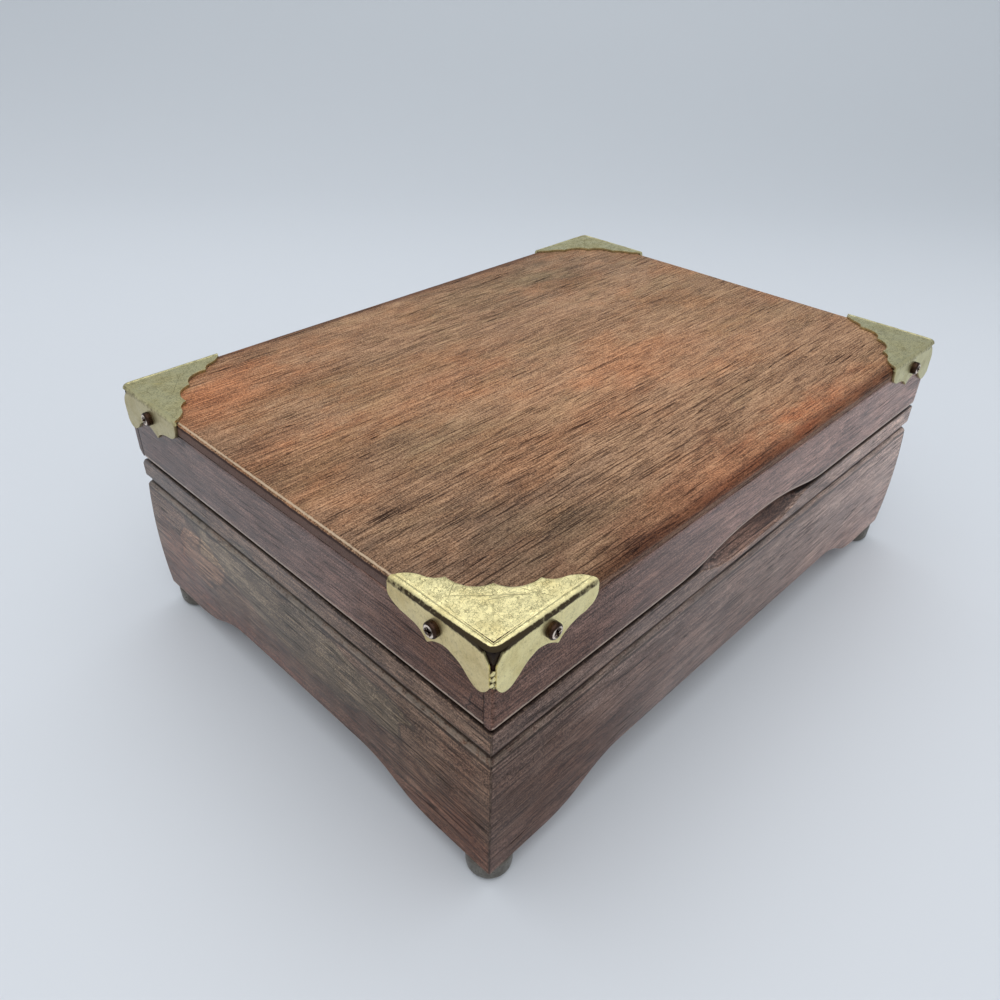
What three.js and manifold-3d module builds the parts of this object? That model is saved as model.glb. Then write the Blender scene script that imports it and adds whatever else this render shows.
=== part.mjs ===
import * as THREE from 'three';
import { mergeVertices } from 'three/addons/utils/BufferGeometryUtils.js';
import Module from 'manifold-3d';

const wasm = await Module();
wasm.setup();

// All lengths are millimetres. +Z is up, the floor is z = 0 and the front of the box faces -Y.
// The origin is under the middle of the box.

// Whole box, read from the photograph
const boxLength = 203;
const boxDepth = 148;
const boxHeight = 78;
const lidHeight = 22.2;
const lidGap = 1.2;
const wallThickness = 10;
const jointGap = 0.02;
const weldDistance = 0.00001;
const cutMargin = 1;

// Moulded sides of the case
const footHeight = 6;
const bandHeight = 6.8;
const bandRoundRadius = 1.2;
const grooveDepth = 1;
const grooveFloorHeight = 1.6;
const grooveShoulderHeight = 1.2;
const bodyBulge = 0.7;
const rimRoundRadius = 0.5;
const hemRoundRadius = 0.8;
const railCurveSegments = 5;
const edgeRoundSegments = 2;

// Arches cut under the case sides
const archStartFromCorner = 18;
const archTopFromCorner = 48;
const archCrestFront = 15.2;
const archCrestSide = 13.8;
const archSwingStart = 14;
const archSwingTop = 15;
const archCurveSegments = 10;

// Finger pull: a scoop in the case rim and an arch in the lid's lower edge
const scoopHalfWidth = 30;
const scoopFloorHalfWidth = 10;
const scoopSwing = 8;
const scoopSwingFloor = 12;
const scoopDrop = 4.1;
const scoopDepth = 6.2;
const lidArchHalfWidth = 38;
const lidArchRise = 4.4;
const lidArchSwingEdge = 14;
const lidArchSwingTop = 20;
const pullCurveSegments = 9;

// Bottom board and feet
const bottomThickness = 3;
const bottomUnderside = 17.5;
const bottomGrooveDepth = 4;
const bottomGrooveClearance = 0.1;
const windingHoleRadius = 3;
const footRadius = 6.35;
const footInset = 5.7;
const footEdgeRadius = 2;
const footTopEdgeRadius = 0.6;
const footSegments = 20;
const footCurveSegments = 3;

// Lid boards
const panelThickness = 4;
const panelFrontRoundRadius = 1;
const panelEndRoundRadius = 1.9;
const panelLowerRoundRadius = 0.5;
const panelCurveSegments = 4;
const lidTongueThickness = 2.4;
const lidRimRoundRadius = 0.4;

// Dividers, lining and the pads that the lid comes down on
const dividerThickness = 3;
const dividerBelowRim = 4.6;
const liningThickness = 1;
const liningGap = 0.1;
const lidLiningThickness = 3.4;
const mirrorFromEnd = 27.5;
const mirrorFromSide = 22;
const mirrorThickness = 1.9;
const mirrorSink = 1.6;
const padRadius = 3;
const padThickness = 1;
const padFromEnd = 14;
const padFromFront = 5;
const padSegments = 16;

// Brass corner caps
const capThickness = 0.8;
const capClearance = 0.05;
const capBendRadius = 1;
const capLegLength = 30;
const capCornerRadius = 1.6;
const capCurveSegments = 6;
const capBendSegments = 4;
const capScrewFromCorner = 15.5;
const capScrewDrop = 3.8;
const capHoleRadius = 1.3;

// Corner cap outline points: distance along a leg, then distance across it
const capPlanEndWaist = [24.8, 4.5];
const capPlanEndBelly = [28.6, 3.6];
const capPlanCusp = [21.5, 7.6];
const capPlanCuspHollow = [22.4, 5.2];
const capPlanArcOuter = [18.5, 7.2];
const capPlanArcInner = [14, 8.6];
const capPlanMiddleCusp = 13.2;
const capSideEndTop = 1.5;
const capSideEndBelly = [30.4, 4.8];
const capSideWaist = [26, 5.8];
const capSideWaistHollow = [19.4, 6.2];
const capSideCusp = [18, 9.3];
const capSideCuspHollow = [15.6, 6.9];
const capSideShoulder = [12.4, 6.8];
const capSideShoulderSwing = [9.4, 6.9];
const capSideFlank = [6.6, 9.9];
const capSideLobeSwing = [3.6, 12.9];
const capSideLobe = [1.6, 11.3];
const capSideLobeTipSwing = [0.5, 10.4];
const capSeamGap = 0.3;
const capSeamFoot = 9.4;
const capHoleFoot = 5;
const capHoleSwing = [0.9, 2.2];
const capHoleTop = [3.3, 1.6];
const capEdgeDrop = 0.6;

// Cap screws
const screwHeadRadius = 1.95;
const screwHeadHeight = 1.7;
const screwHeadEdgeShare = 0.6;
const screwShankRadius = 1;
const screwShankLength = 8;
const screwTipLength = 1.5;
const screwSegments = 14;
const screwPilotClearance = 0.03;
const screwSeatGap = 0.02;
const screwHeadFlatShare = 0.55;

// Hinges
const hingeFromEnd = 41.5;
const hingeLength = 25;
const hingeLeafThickness = 0.5;
const hingeLeafSeatGap = 0.02;
const hingeLeafDepth = 5.6;
const hingePinFromBack = 2.2;
const hingeBarrelRadius = 1.6;
const hingePinRadius = 0.8;
const hingePinClearance = 0.05;
const hingeKnuckleCount = 5;
const hingeKnuckleGap = 0.1;
const hingeBarrelClearance = 0.35;
const hingeTabOverlap = 0.6;
const hingeSegments = 16;
const lidOpenAngleDegrees = 100;
const stopBevelClearance = 0.15;

// Movement: its bed, its cover and the well that they stand in
const movementLength = 52;
const movementDepth = 42;
const bedThickness = 2.5;
const bedCornerRadius = 4;
const bedCornerSegments = 4;
const bedSeatGap = 0.02;
const coverWall = 1;
const coverRoomAtEnds = 1.3;
const coverRoomAtSides = 0.7;
const coverHeight = 28;
const coverSlotWidth = 6;
const coverSlotHeight = 26.5;
const wellRoomAtEnds = 2.7;
const wellRoomAtSides = 5.3;

// Movement: pinned drum and its arbor, placed from the middle of the bed
const drumAxisV = 4;
const drumAxisHeight = 18;
const drumRadius = 6.5;
const drumStart = -0.9;
const drumLength = 18;
const drumSegments = 36;
const arborRadius = 1;
const arborStart = -5.6;
const arborEnd = 23.1;
const arborSegments = 16;
const pressFitGap = 0.02;
const runningClearance = 0.05;
const drumPinionTeeth = 15;
const drumPinionStart = -5.3;
const drumPinionLength = 1.6;
const crownModule = 0.6333;
const drumGearTeeth = 40;
const drumGearStart = 17.6;
const drumGearThickness = 1.5;
const gearModule = 0.36;
const toothTipShare = 0.27;
const toothRootShare = 0.6;
const toothRiseModules = 0.88;
const toothSinkModules = 1.15;

// Movement: spring barrel, mainspring and winding parts
const barrelU = -14;
const barrelTeeth = 30;
const barrelRadius = 9.4;
const barrelWall = 0.8;
const barrelFlangeRadius = 10.2;
const barrelBottom = 4.2;
const barrelTop = 12.4;
const barrelFlangeThickness = 1;
const crownToothHeight = 1.25;
const crownToothInner = 8.7;
const crownToothBase = 1.12;
const crownToothTip = 0.6;
const crownToothSink = 0.3;
const springInnerRadius = 2.3;
const springOuterRadius = 8.2;
const springTurns = 6.5;
const springStepsPerTurn = 12;
const springThickness = 0.3;
const springBottom = 4.9;
const springHeight = 6.2;
const windingArborRadius = 1.5;
const windingArborTop = 13;
const windingArborFoot = -8;
const ratchetBottom = 2.7;
const ratchetThickness = 1.1;
const ratchetTeeth = 14;
const ratchetTipRadius = 4.6;
const ratchetRootRadius = 3.9;
const clickFromBarrelU = 6.3;
const clickFromBarrelV = -5.1;
const clickLength = 5.3;
const clickWidth = 1.8;
const clickNoseWidth = 0.5;
const clickTurnDegrees = 186.5;
const clickPivotRadius = 1.3;
const keyBossRadius = 3.2;
const keyBossTop = 16.6;
const keyBossBottom = 9.6;
const keyWingThickness = 1.8;
const keyWingHalfSpan = 10.5;
const keyWingTop = 13;
const keyWingBottom = 4;
const keyWaistHalfHeight = 2.2;
const keyBossSegments = 18;
const keyCurveSegments = 4;
const keyEyeRadius = 2.1;
const keyEyeFromAxis = 6.4;

// Movement: cast frame
const leftPostStart = -2.9;
const rightPostStart = 21.8;
const postThickness = 1.5;
const postHalfWidth = 3;
const postTopRadius = 3;
const shelfFront = -20;
const shelfDepth = 8;
const shelfTop = 16.9;
const shelfThickness = 2.4;
const shelfStart = -1.9;
const shelfLength = 20;
const shelfLegLength = 3;
const frameCurveSegments = 8;

// Movement: comb
const combTeeth = 18;
const combThickness = 1;
const combSeatGap = 0.05;
const combTipClearance = 0.3;
const combToothGap = 0.3;
const combEdgeMargin = 0.25;
const combShortTooth = 7.2;
const combLongTooth = 9.8;
const combScrewFromEdge = 3.4;
const combScrewFromFront = 3.2;
const combScrewHeadRadius = 1.9;
const combScrewHeadHeight = 1.3;
const combScrewShankRadius = 1;
const combScrewShankLength = 2.6;
const combScrewTipLength = 0.5;

// Movement: governor
const governorMeshDegrees = -40;
const governorPinionTeeth = 10;
const governorPinionStart = 17.4;
const governorPinionLength = 1.9;
const governorWheelTeeth = 24;
const governorWheelModule = 0.42;
const governorWheelStart = 19.7;
const governorWheelThickness = 1.2;
const governorArborRadius = 0.8;
const governorArborStart = 15.3;
const governorArborEnd = 25.1;
const wormPitchRadius = 1.15;
const flyShaftRadius = 0.6;
const flyShaftFoot = 0.6;
const flyShaftTop = 25;
const flyWingRadius = 3.4;
const flyWingThickness = 0.35;
const flyWingBottom = 18.8;
const flyWingTop = 22.8;
const governorPlateThickness = 1.2;
const governorLeftPlate = 15.2;
const governorRightPlate = 24;
const governorBridgeBottom = 24.2;
const governorPlateFront = 9.7;
const governorPlateStep = 12.2;
const governorPlateBack = 19.5;
const governorPlateStepHeight = 13.4;
const governorHoleSegments = 16;

// Movement: stop lever worked by the lid
const stopRodRadius = 0.8;
const stopRodFoot = 5;
const stopRodFromWall = 1.7;
const stopRodTopGap = 0.28;
const stopArmRadius = 0.5;
const stopCollarRadius = 1.3;
const stopCollarHalfHeight = 1.1;
const stopArmAboveWingFoot = 0.6;
const stopArmTipGap = 0.35;
const stopGuideWidth = 4;
const stopGuideMargin = 1.3;
const stopSegments = 12;
const stopPlateThickness = 0.8;
const stopPlateHalfLength = 4;
const stopPlateBeforeRod = 1.8;
const stopPlateBehindRod = 6.2;

// Sizes that follow from the ones above
const halfLength = boxLength / 2;
const halfDepth = boxDepth / 2;
const lidBottom = boxHeight - lidHeight;
const rimTop = lidBottom - lidGap;
const lidRailTop = boxHeight - panelThickness;
const bandBottom = rimTop - bandHeight;
const bodyTop = bandBottom - grooveFloorHeight - grooveShoulderHeight;
const floorTop = bottomUnderside + bottomThickness;
const innerHalfLength = halfLength - wallThickness;
const innerHalfDepth = halfDepth - wallThickness;
const hingeAxisY = halfDepth - hingePinFromBack;
const hingeAxisZ = rimTop + lidGap / 2;
const hingeMiddleX = halfLength - hingeFromEnd;
const capOuter = capClearance + capThickness;
const coverHalfLength = movementLength / 2 + coverRoomAtEnds + coverWall;
const coverHalfDepth = movementDepth / 2 + coverRoomAtSides + coverWall;
const wellHalfLength = coverHalfLength + wellRoomAtEnds;
const wellHalfDepth = coverHalfDepth + wellRoomAtSides;
const movementX = -innerHalfLength + wellHalfLength;
const movementY = innerHalfDepth - wellHalfDepth;
const dividerX = movementX + wellHalfLength;
const dividerY = movementY - wellHalfDepth;
const dividerTop = rimTop - dividerBelowRim;
const crownPitchRadius = (crownModule * barrelTeeth) / 2;
const crownMeshHeight = drumAxisHeight - (crownModule * drumPinionTeeth) / 2;
const gearPitchRadius = (gearModule * drumGearTeeth) / 2;
const governorDistance = gearPitchRadius + (gearModule * governorPinionTeeth) / 2;
const governorMeshAngle = THREE.MathUtils.degToRad(governorMeshDegrees);
const governorV = drumAxisV + governorDistance * Math.cos(governorMeshAngle);
const governorHeight = drumAxisHeight + governorDistance * Math.sin(governorMeshAngle);
const governorWheelPitchRadius = (governorWheelModule * governorWheelTeeth) / 2;
const flyU = governorWheelStart + governorWheelThickness / 2;
const flyV = governorV + governorWheelPitchRadius + wormPitchRadius;
const stopArmHeight = flyWingBottom + stopArmAboveWingFoot;
const stopRodV = wellHalfDepth - stopRodFromWall;
const stopPlateLow = lidBottom - hingeLeafSeatGap - stopPlateThickness;

// Shape helpers

function solidFrom(geometry) {
  const plain = geometry.clone();
  plain.deleteAttribute('normal');
  plain.deleteAttribute('uv');
  const merged = mergeVertices(plain, weldDistance);
  return new wasm.Manifold(new wasm.Mesh({
    numProp: 3,
    vertProperties: new Float32Array(merged.attributes.position.array),
    triVerts: new Uint32Array(merged.index.array),
  }));
}

function geometryFrom(body) {
  const data = body.getMesh();
  const geometry = new THREE.BufferGeometry();
  geometry.setAttribute('position', new THREE.BufferAttribute(Float32Array.from(data.vertProperties), 3));
  geometry.setIndex(new THREE.BufferAttribute(Uint32Array.from(data.triVerts), 1));
  const flat = geometry.toNonIndexed();
  flat.computeVertexNormals();
  return flat;
}

function piece(name, body, material) {
  const geometry = body.isBufferGeometry ? body : geometryFrom(body);
  const mesh = new THREE.Mesh(geometry, material);
  mesh.name = name;
  return mesh;
}

function shapeOf(points) {
  const shape = new THREE.Shape();
  points.forEach(([x, y], index) => {
    if (index === 0) {
      shape.moveTo(x, y);
    } else {
      shape.lineTo(x, y);
    }
  });
  shape.closePath();
  return shape;
}

function extruded(shape, length, curveSegments) {
  return new THREE.ExtrudeGeometry(shape, { depth: length, bevelEnabled: false, steps: 1, curveSegments });
}

// Shape drawn in X and Y, extruded up from low to high
function prismUp(shape, low, high, curveSegments = 1) {
  const geometry = extruded(shape, high - low, curveSegments);
  geometry.translate(0, 0, low);
  return solidFrom(geometry);
}

// Shape drawn in Y and Z, extruded along X from low to high
function prismAlongX(shape, low, high, curveSegments = 1) {
  const geometry = extruded(shape, high - low, curveSegments);
  const turn = new THREE.Matrix4().makeBasis(
    new THREE.Vector3(0, 1, 0),
    new THREE.Vector3(0, 0, 1),
    new THREE.Vector3(1, 0, 0),
  );
  geometry.applyMatrix4(turn);
  geometry.translate(low, 0, 0);
  return solidFrom(geometry);
}

// Shape drawn in X and Z, extruded along Y from low to high
function prismAlongY(shape, low, high, curveSegments = 1) {
  const geometry = extruded(shape, high - low, curveSegments);
  const turn = new THREE.Matrix4().makeBasis(
    new THREE.Vector3(1, 0, 0),
    new THREE.Vector3(0, 0, 1),
    new THREE.Vector3(0, -1, 0),
  );
  geometry.applyMatrix4(turn);
  geometry.translate(0, high, 0);
  return solidFrom(geometry);
}

function block(low, high) {
  const size = high.map((value, index) => value - low[index]);
  const middle = high.map((value, index) => (value + low[index]) / 2);
  const geometry = new THREE.BoxGeometry(...size);
  geometry.translate(...middle);
  return solidFrom(geometry);
}

// Round bar between two values of one axis; middle gives the other two coordinates in axis order
function bar(axis, low, high, middle, radius, segments) {
  const geometry = new THREE.CylinderGeometry(radius, radius, high - low, segments);
  if (axis === 'x') {
    geometry.rotateZ(-Math.PI / 2);
    geometry.translate((low + high) / 2, middle[0], middle[1]);
  } else if (axis === 'y') {
    geometry.translate(middle[0], (low + high) / 2, middle[1]);
  } else {
    geometry.rotateX(Math.PI / 2);
    geometry.translate(middle[0], middle[1], (low + high) / 2);
  }
  return solidFrom(geometry);
}

// Profile of [radius, height] points that starts and ends on the axis, or closes on itself; axis is up
function turned(points, segments) {
  const profile = points.map(([radius, height]) => new THREE.Vector2(radius, height));
  const geometry = new THREE.LatheGeometry(profile, segments);
  geometry.rotateX(Math.PI / 2);
  return geometry;
}

function arcPoints(middleX, middleY, radius, fromDegrees, toDegrees, segments) {
  const points = [];
  for (let step = 0; step <= segments; step += 1) {
    const share = step / segments;
    const angle = THREE.MathUtils.degToRad(fromDegrees + (toDegrees - fromDegrees) * share);
    points.push([middleX + radius * Math.cos(angle), middleY + radius * Math.sin(angle)]);
  }
  return points;
}

function gearShape(teeth, module, firstToothAngle, middleX, middleY) {
  const pitchRadius = (module * teeth) / 2;
  const tip = pitchRadius + module * toothRiseModules;
  const root = pitchRadius - module * toothSinkModules;
  const pitch = (Math.PI * 2) / teeth;
  const corners = [
    [root, -toothRootShare],
    [tip, -toothTipShare],
    [tip, toothTipShare],
    [root, toothRootShare],
  ];
  const points = [];
  for (let tooth = 0; tooth < teeth; tooth += 1) {
    corners.forEach(([radius, share]) => {
      const angle = firstToothAngle + pitch * tooth + (pitch * share) / 2;
      points.push([middleX + radius * Math.cos(angle), middleY + radius * Math.sin(angle)]);
    });
  }
  return shapeOf(points);
}

// Materials

function metal(colour, roughness) {
  return new THREE.MeshStandardMaterial({ color: colour, roughness, metalness: 1 });
}

function plain(colour, roughness) {
  return new THREE.MeshStandardMaterial({ color: colour, roughness, metalness: 0 });
}

const lidPanelColour = 0x8b6248;
const lidRailColour = 0x6b5852;
const caseRailColour = 0x665049;
const innerWoodColour = 0x8a6a4c;
const capBrassColour = 0xcdbd7c;
const plainBrassColour = 0xb59a55;
const darkScrewColour = 0x4a3d2c;
const steelColour = 0x9b9c9c;
const zincColour = 0xa7a8a6;
const velvetColour = 0x5c1723;
const feltColour = 0x2f4a35;
const footColour = 0xa9aca2;
const clearColour = 0xdfe6e6;
const mirrorColour = 0xd8dcde;
const satinRoughness = 0.45;
const polishedRoughness = 0.25;
const dullRoughness = 0.6;
const clothRoughness = 0.95;
const clearRoughness = 0.08;

// Moulded side of the case, drawn as distance out from the face plane and height
function caseProfile() {
  const shape = new THREE.Shape();
  const inner = -wallThickness;
  const grooveFloor = -grooveDepth;
  const slotLow = bottomUnderside - bottomGrooveClearance;
  const slotHigh = floorTop + bottomGrooveClearance;
  const slotBack = inner + bottomGrooveDepth;
  const grooveTop = bandBottom;
  const grooveLow = bodyTop + grooveShoulderHeight;
  shape.moveTo(-hemRoundRadius, footHeight);
  shape.quadraticCurveTo(0, footHeight, 0, footHeight + hemRoundRadius);
  const bulgeMiddle = (footHeight + hemRoundRadius + bodyTop) / 2;
  shape.quadraticCurveTo(bodyBulge * 2, bulgeMiddle, 0, bodyTop);
  shape.quadraticCurveTo(-grooveDepth / 2, grooveLow, grooveFloor, grooveLow);
  shape.lineTo(grooveFloor, grooveTop);
  shape.quadraticCurveTo(0, grooveTop, 0, grooveTop + bandRoundRadius);
  shape.lineTo(0, rimTop - rimRoundRadius);
  shape.quadraticCurveTo(0, rimTop, -rimRoundRadius, rimTop);
  shape.lineTo(inner, rimTop);
  shape.lineTo(inner, slotHigh);
  shape.lineTo(slotBack, slotHigh);
  shape.lineTo(slotBack, slotLow);
  shape.lineTo(inner, slotLow);
  shape.lineTo(inner, footHeight);
  shape.closePath();
  return shape;
}

// Mirror copy of a shape across its second axis, so that outward points along -Y
function mirrored(shape, divisions) {
  const points = shape.getPoints(divisions).map((point) => [-point.x, point.y]);
  points.reverse();
  return shapeOf(points);
}

// Ogee-ended arch under one side, as an opening drawn in X and Z
function archOpening(sideHalfLength, crest) {
  const start = sideHalfLength - archStartFromCorner;
  const top = sideHalfLength - archTopFromCorner;
  const shape = new THREE.Shape();
  shape.moveTo(-start, -cutMargin);
  shape.lineTo(-start, footHeight);
  shape.bezierCurveTo(-start + archSwingStart, footHeight, -top - archSwingTop, crest, -top, crest);
  shape.lineTo(top, crest);
  shape.bezierCurveTo(top + archSwingTop, crest, start - archSwingStart, footHeight, start, footHeight);
  shape.lineTo(start, -cutMargin);
  shape.closePath();
  return shape;
}

// One mitred side, made as the front side and turned into place afterwards
function caseRail(sideHalfLength, faceDistance, crest) {
  const faceShape = mirrored(caseProfile(), railCurveSegments);
  const profile = new THREE.Shape(faceShape.getPoints(1).map((point) => (
    new THREE.Vector2(point.x - faceDistance, point.y)
  )));
  const reach = sideHalfLength + cutMargin;
  const moulding = prismAlongX(profile, -reach, reach, 1);
  const outerY = -faceDistance - bodyBulge - cutMargin;
  const innerY = -faceDistance + wallThickness + cutMargin;
  const outerX = sideHalfLength + bodyBulge + cutMargin - jointGap / 2;
  const innerX = sideHalfLength - wallThickness - cutMargin - jointGap / 2;
  const mitres = shapeOf([[-outerX, outerY], [outerX, outerY], [innerX, innerY], [-innerX, innerY]]);
  const opening = archOpening(sideHalfLength, crest);
  const arch = prismAlongY(opening, outerY - cutMargin, innerY + cutMargin, archCurveSegments);
  return moulding.intersect(prismUp(mitres, 0, boxHeight)).subtract(arch);
}

// Slanted scoop in the front rim for a finger
function fingerScoop() {
  const shape = new THREE.Shape();
  const floor = rimTop - scoopDrop;
  const top = rimTop + scoopDrop * 2;
  shape.moveTo(-scoopHalfWidth, top);
  shape.lineTo(-scoopHalfWidth, rimTop);
  shape.bezierCurveTo(
    -scoopHalfWidth + scoopSwing, rimTop,
    -scoopFloorHalfWidth - scoopSwingFloor, floor,
    -scoopFloorHalfWidth, floor,
  );
  shape.lineTo(scoopFloorHalfWidth, floor);
  shape.bezierCurveTo(
    scoopFloorHalfWidth + scoopSwingFloor, floor,
    scoopHalfWidth - scoopSwing, rimTop,
    scoopHalfWidth, rimTop,
  );
  shape.lineTo(scoopHalfWidth, top);
  shape.closePath();
  const outside = -halfDepth - bodyBulge - cutMargin;
  const geometry = extruded(shape, wallThickness, pullCurveSegments);
  const slope = scoopDrop / scoopDepth;
  const place = new THREE.Matrix4().set(
    1, 0, 0, 0,
    0, 0, -1, outside + wallThickness,
    0, 1, -slope, slope * (wallThickness + outside + halfDepth),
    0, 0, 0, 1,
  );
  geometry.applyMatrix4(place);
  return solidFrom(geometry);
}

// Wedge that the back edges lose so that lid and case meet when the lid stands open
function stopBevel(direction, sideHalfLength) {
  const half = THREE.MathUtils.degToRad(lidOpenAngleDegrees / 2);
  const reach = hingePinFromBack + bodyBulge + cutMargin;
  const offset = (direction * stopBevelClearance) / Math.cos(half);
  const apexZ = hingeAxisZ + offset;
  const farZ = apexZ + direction * reach * Math.tan(half);
  const backY = hingeAxisY + reach;
  const points = [[hingeAxisY, hingeAxisZ], [backY, hingeAxisZ], [backY, farZ], [hingeAxisY, apexZ]];
  if (direction < 0) {
    points.reverse();
  }
  const length = sideHalfLength + cutMargin;
  return prismAlongX(shapeOf(points), -length, length);
}

// Room for the two hinge barrels in a back board
function barrelNotches() {
  const radius = hingeBarrelRadius + hingeBarrelClearance;
  const half = hingeLength / 2 + hingeBarrelClearance;
  return [-hingeMiddleX, hingeMiddleX].map((middle) => block(
    [middle - half, hingeAxisY - radius, hingeAxisZ - radius],
    [middle + half, halfDepth + cutMargin, hingeAxisZ + radius],
  ));
}

function turnedAboutUp(body, quarterTurns) {
  const geometry = geometryFrom(body);
  geometry.rotateZ((quarterTurns * Math.PI) / 2);
  return solidFrom(geometry);
}

function caseSides() {
  const colour = plain(caseRailColour, dullRoughness);
  const longSide = caseRail(halfLength, halfDepth, archCrestFront);
  const shortSide = caseRail(halfDepth, halfLength, archCrestSide);
  const bevel = stopBevel(-1, halfLength);
  let back = turnedAboutUp(longSide, 2).subtract(bevel);
  barrelNotches().forEach((notch) => {
    back = back.subtract(notch);
  });
  return [
    piece('base_front', longSide.subtract(fingerScoop()), colour.clone()),
    piece('base_back', back, colour.clone()),
    piece('base_left', turnedAboutUp(shortSide, -1).subtract(bevel), colour.clone()),
    piece('base_right', turnedAboutUp(shortSide, 1).subtract(bevel), colour.clone()),
  ];
}

function bottomBoard() {
  const reachX = innerHalfLength + bottomGrooveDepth - bottomGrooveClearance;
  const reachY = innerHalfDepth + bottomGrooveDepth - bottomGrooveClearance;
  const board = block([-reachX, -reachY, bottomUnderside], [reachX, reachY, floorTop]);
  const hole = bar(
    'z', bottomUnderside - cutMargin, floorTop + cutMargin,
    [movementX + barrelU, movementY + drumAxisV], windingHoleRadius, arborSegments,
  );
  return piece('bottom_board', board.subtract(hole), plain(innerWoodColour, dullRoughness));
}

function foot(name, signX, signY) {
  const topZ = footHeight - jointGap;
  const topEdge = footTopEdgeRadius;
  const profile = [
    [0, 0],
    ...arcPoints(footRadius - footEdgeRadius, footEdgeRadius, footEdgeRadius, -90, 0, footCurveSegments),
    ...arcPoints(footRadius - topEdge, topZ - topEdge, topEdge, 0, 90, edgeRoundSegments),
    [0, topZ],
  ];
  const geometry = turned(profile, footSegments);
  geometry.translate(signX * (halfLength - footInset), signY * (halfDepth - footInset), 0);
  return piece(name, geometryFrom(solidFrom(geometry)), plain(footColour, satinRoughness));
}

// Makes something at each corner from its name and the two directions that point out of the box there
function atEachCorner(make) {
  return ['front', 'back'].flatMap((depthName) => ['left', 'right'].flatMap((lengthName) => {
    const signX = lengthName === 'left' ? -1 : 1;
    const signY = depthName === 'front' ? -1 : 1;
    return make(`${depthName}_${lengthName}`, signX, signY);
  }));
}

function feet() {
  return atEachCorner((corner, signX, signY) => foot(`foot_${corner}`, signX, signY));
}

// Two boards that wall off the movement's well in the back left corner
function dividers() {
  const long = block(
    [dividerX, -innerHalfDepth + jointGap, floorTop + jointGap],
    [dividerX + dividerThickness, innerHalfDepth - jointGap, dividerTop],
  );
  const short = block(
    [-innerHalfLength + jointGap, dividerY - dividerThickness, floorTop + jointGap],
    [dividerX - jointGap, dividerY, dividerTop],
  );
  return [
    piece('divider_long', long, plain(innerWoodColour, dullRoughness)),
    piece('divider_short', short, plain(innerWoodColour, dullRoughness)),
  ];
}

function openTray(name, low, high) {
  const outer = block(low.map((value) => value + liningGap), high.map((value) => value - liningGap));
  const inset = liningGap + liningThickness;
  const inner = block(
    low.map((value) => value + inset),
    [high[0] - inset, high[1] - inset, high[2] + cutMargin],
  );
  return piece(name, outer.subtract(inner), plain(velvetColour, clothRoughness));
}

function linings() {
  const small = openTray(
    'lining_small',
    [-innerHalfLength, -innerHalfDepth, floorTop],
    [dividerX, dividerY - dividerThickness, dividerTop],
  );
  const large = openTray(
    'lining_large',
    [dividerX + dividerThickness, -innerHalfDepth, floorTop],
    [innerHalfLength, innerHalfDepth, dividerTop],
  );
  return [small, large];
}

function rimPads() {
  return [['rim_pad_left', -1], ['rim_pad_right', 1]].map(([name, sign]) => {
    const pad = bar(
      'z', rimTop + jointGap, rimTop + jointGap + padThickness,
      [sign * (halfLength - padFromEnd), -halfDepth + padFromFront], padRadius, padSegments,
    );
    return piece(name, pad, plain(feltColour, clothRoughness));
  });
}

// Clear cover that stands over the movement, with a slot for the stop lever
function movementCover() {
  const low = [movementX - coverHalfLength, movementY - coverHalfDepth, floorTop + jointGap];
  const high = [movementX + coverHalfLength, movementY + coverHalfDepth, floorTop + coverHeight];
  const outer = block(low, high);
  const inner = block(
    [low[0] + coverWall, low[1] + coverWall, low[2] - cutMargin],
    high.map((value) => value - coverWall),
  );
  const slotMiddle = movementX + flyU;
  const slot = block(
    [slotMiddle - coverSlotWidth / 2, high[1] - coverWall - cutMargin, low[2] - cutMargin],
    [slotMiddle + coverSlotWidth / 2, high[1] + cutMargin, floorTop + coverSlotHeight],
  );
  return piece('movement_cover', outer.subtract(inner).subtract(slot), plain(clearColour, clearRoughness));
}

// Pilot hole for one cap screw, between two values of the axis that it runs along
function capScrewHole(axis, faceDistance, sign, along) {
  const end = sign * (faceDistance + cutMargin);
  const start = sign * (faceDistance - screwShankLength - cutMargin);
  const middle = [along, boxHeight - capScrewDrop];
  const radius = screwShankRadius + screwPilotClearance;
  return bar(axis, Math.min(start, end), Math.max(start, end), middle, radius, screwSegments);
}

// Pilot holes for the cap screws in the lid boards
function capScrewHoles() {
  return atEachCorner((corner, signX, signY) => [
    capScrewHole('y', halfDepth, signY, signX * (halfLength - capScrewFromCorner)),
    capScrewHole('x', halfLength, signX, signY * (halfDepth - capScrewFromCorner)),
  ]);
}

function withoutAll(body, cutters) {
  return cutters.reduce((rest, cutter) => rest.subtract(cutter), body);
}

// Rounded board section: half width across and the two rounding radii
function panelSection(half, topRadius) {
  const low = lidRailTop + jointGap;
  const high = boxHeight;
  const lower = panelLowerRoundRadius;
  return shapeOf([
    ...arcPoints(half - topRadius, high - topRadius, topRadius, 0, 90, panelCurveSegments),
    ...arcPoints(-half + topRadius, high - topRadius, topRadius, 90, 180, panelCurveSegments),
    ...arcPoints(-half + lower, low + lower, lower, 180, 270, edgeRoundSegments),
    ...arcPoints(half - lower, low + lower, lower, 270, 360, edgeRoundSegments),
  ]);
}

function lidPanel(holes) {
  const reachX = halfLength + cutMargin;
  const reachY = halfDepth + cutMargin;
  const alongLength = prismAlongX(panelSection(halfDepth, panelFrontRoundRadius), -reachX, reachX);
  const alongDepth = prismAlongY(panelSection(halfLength, panelEndRoundRadius), -reachY, reachY);
  const body = withoutAll(alongLength.intersect(alongDepth), holes);
  return piece('lid_panel', body, plain(lidPanelColour, satinRoughness));
}

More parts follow.
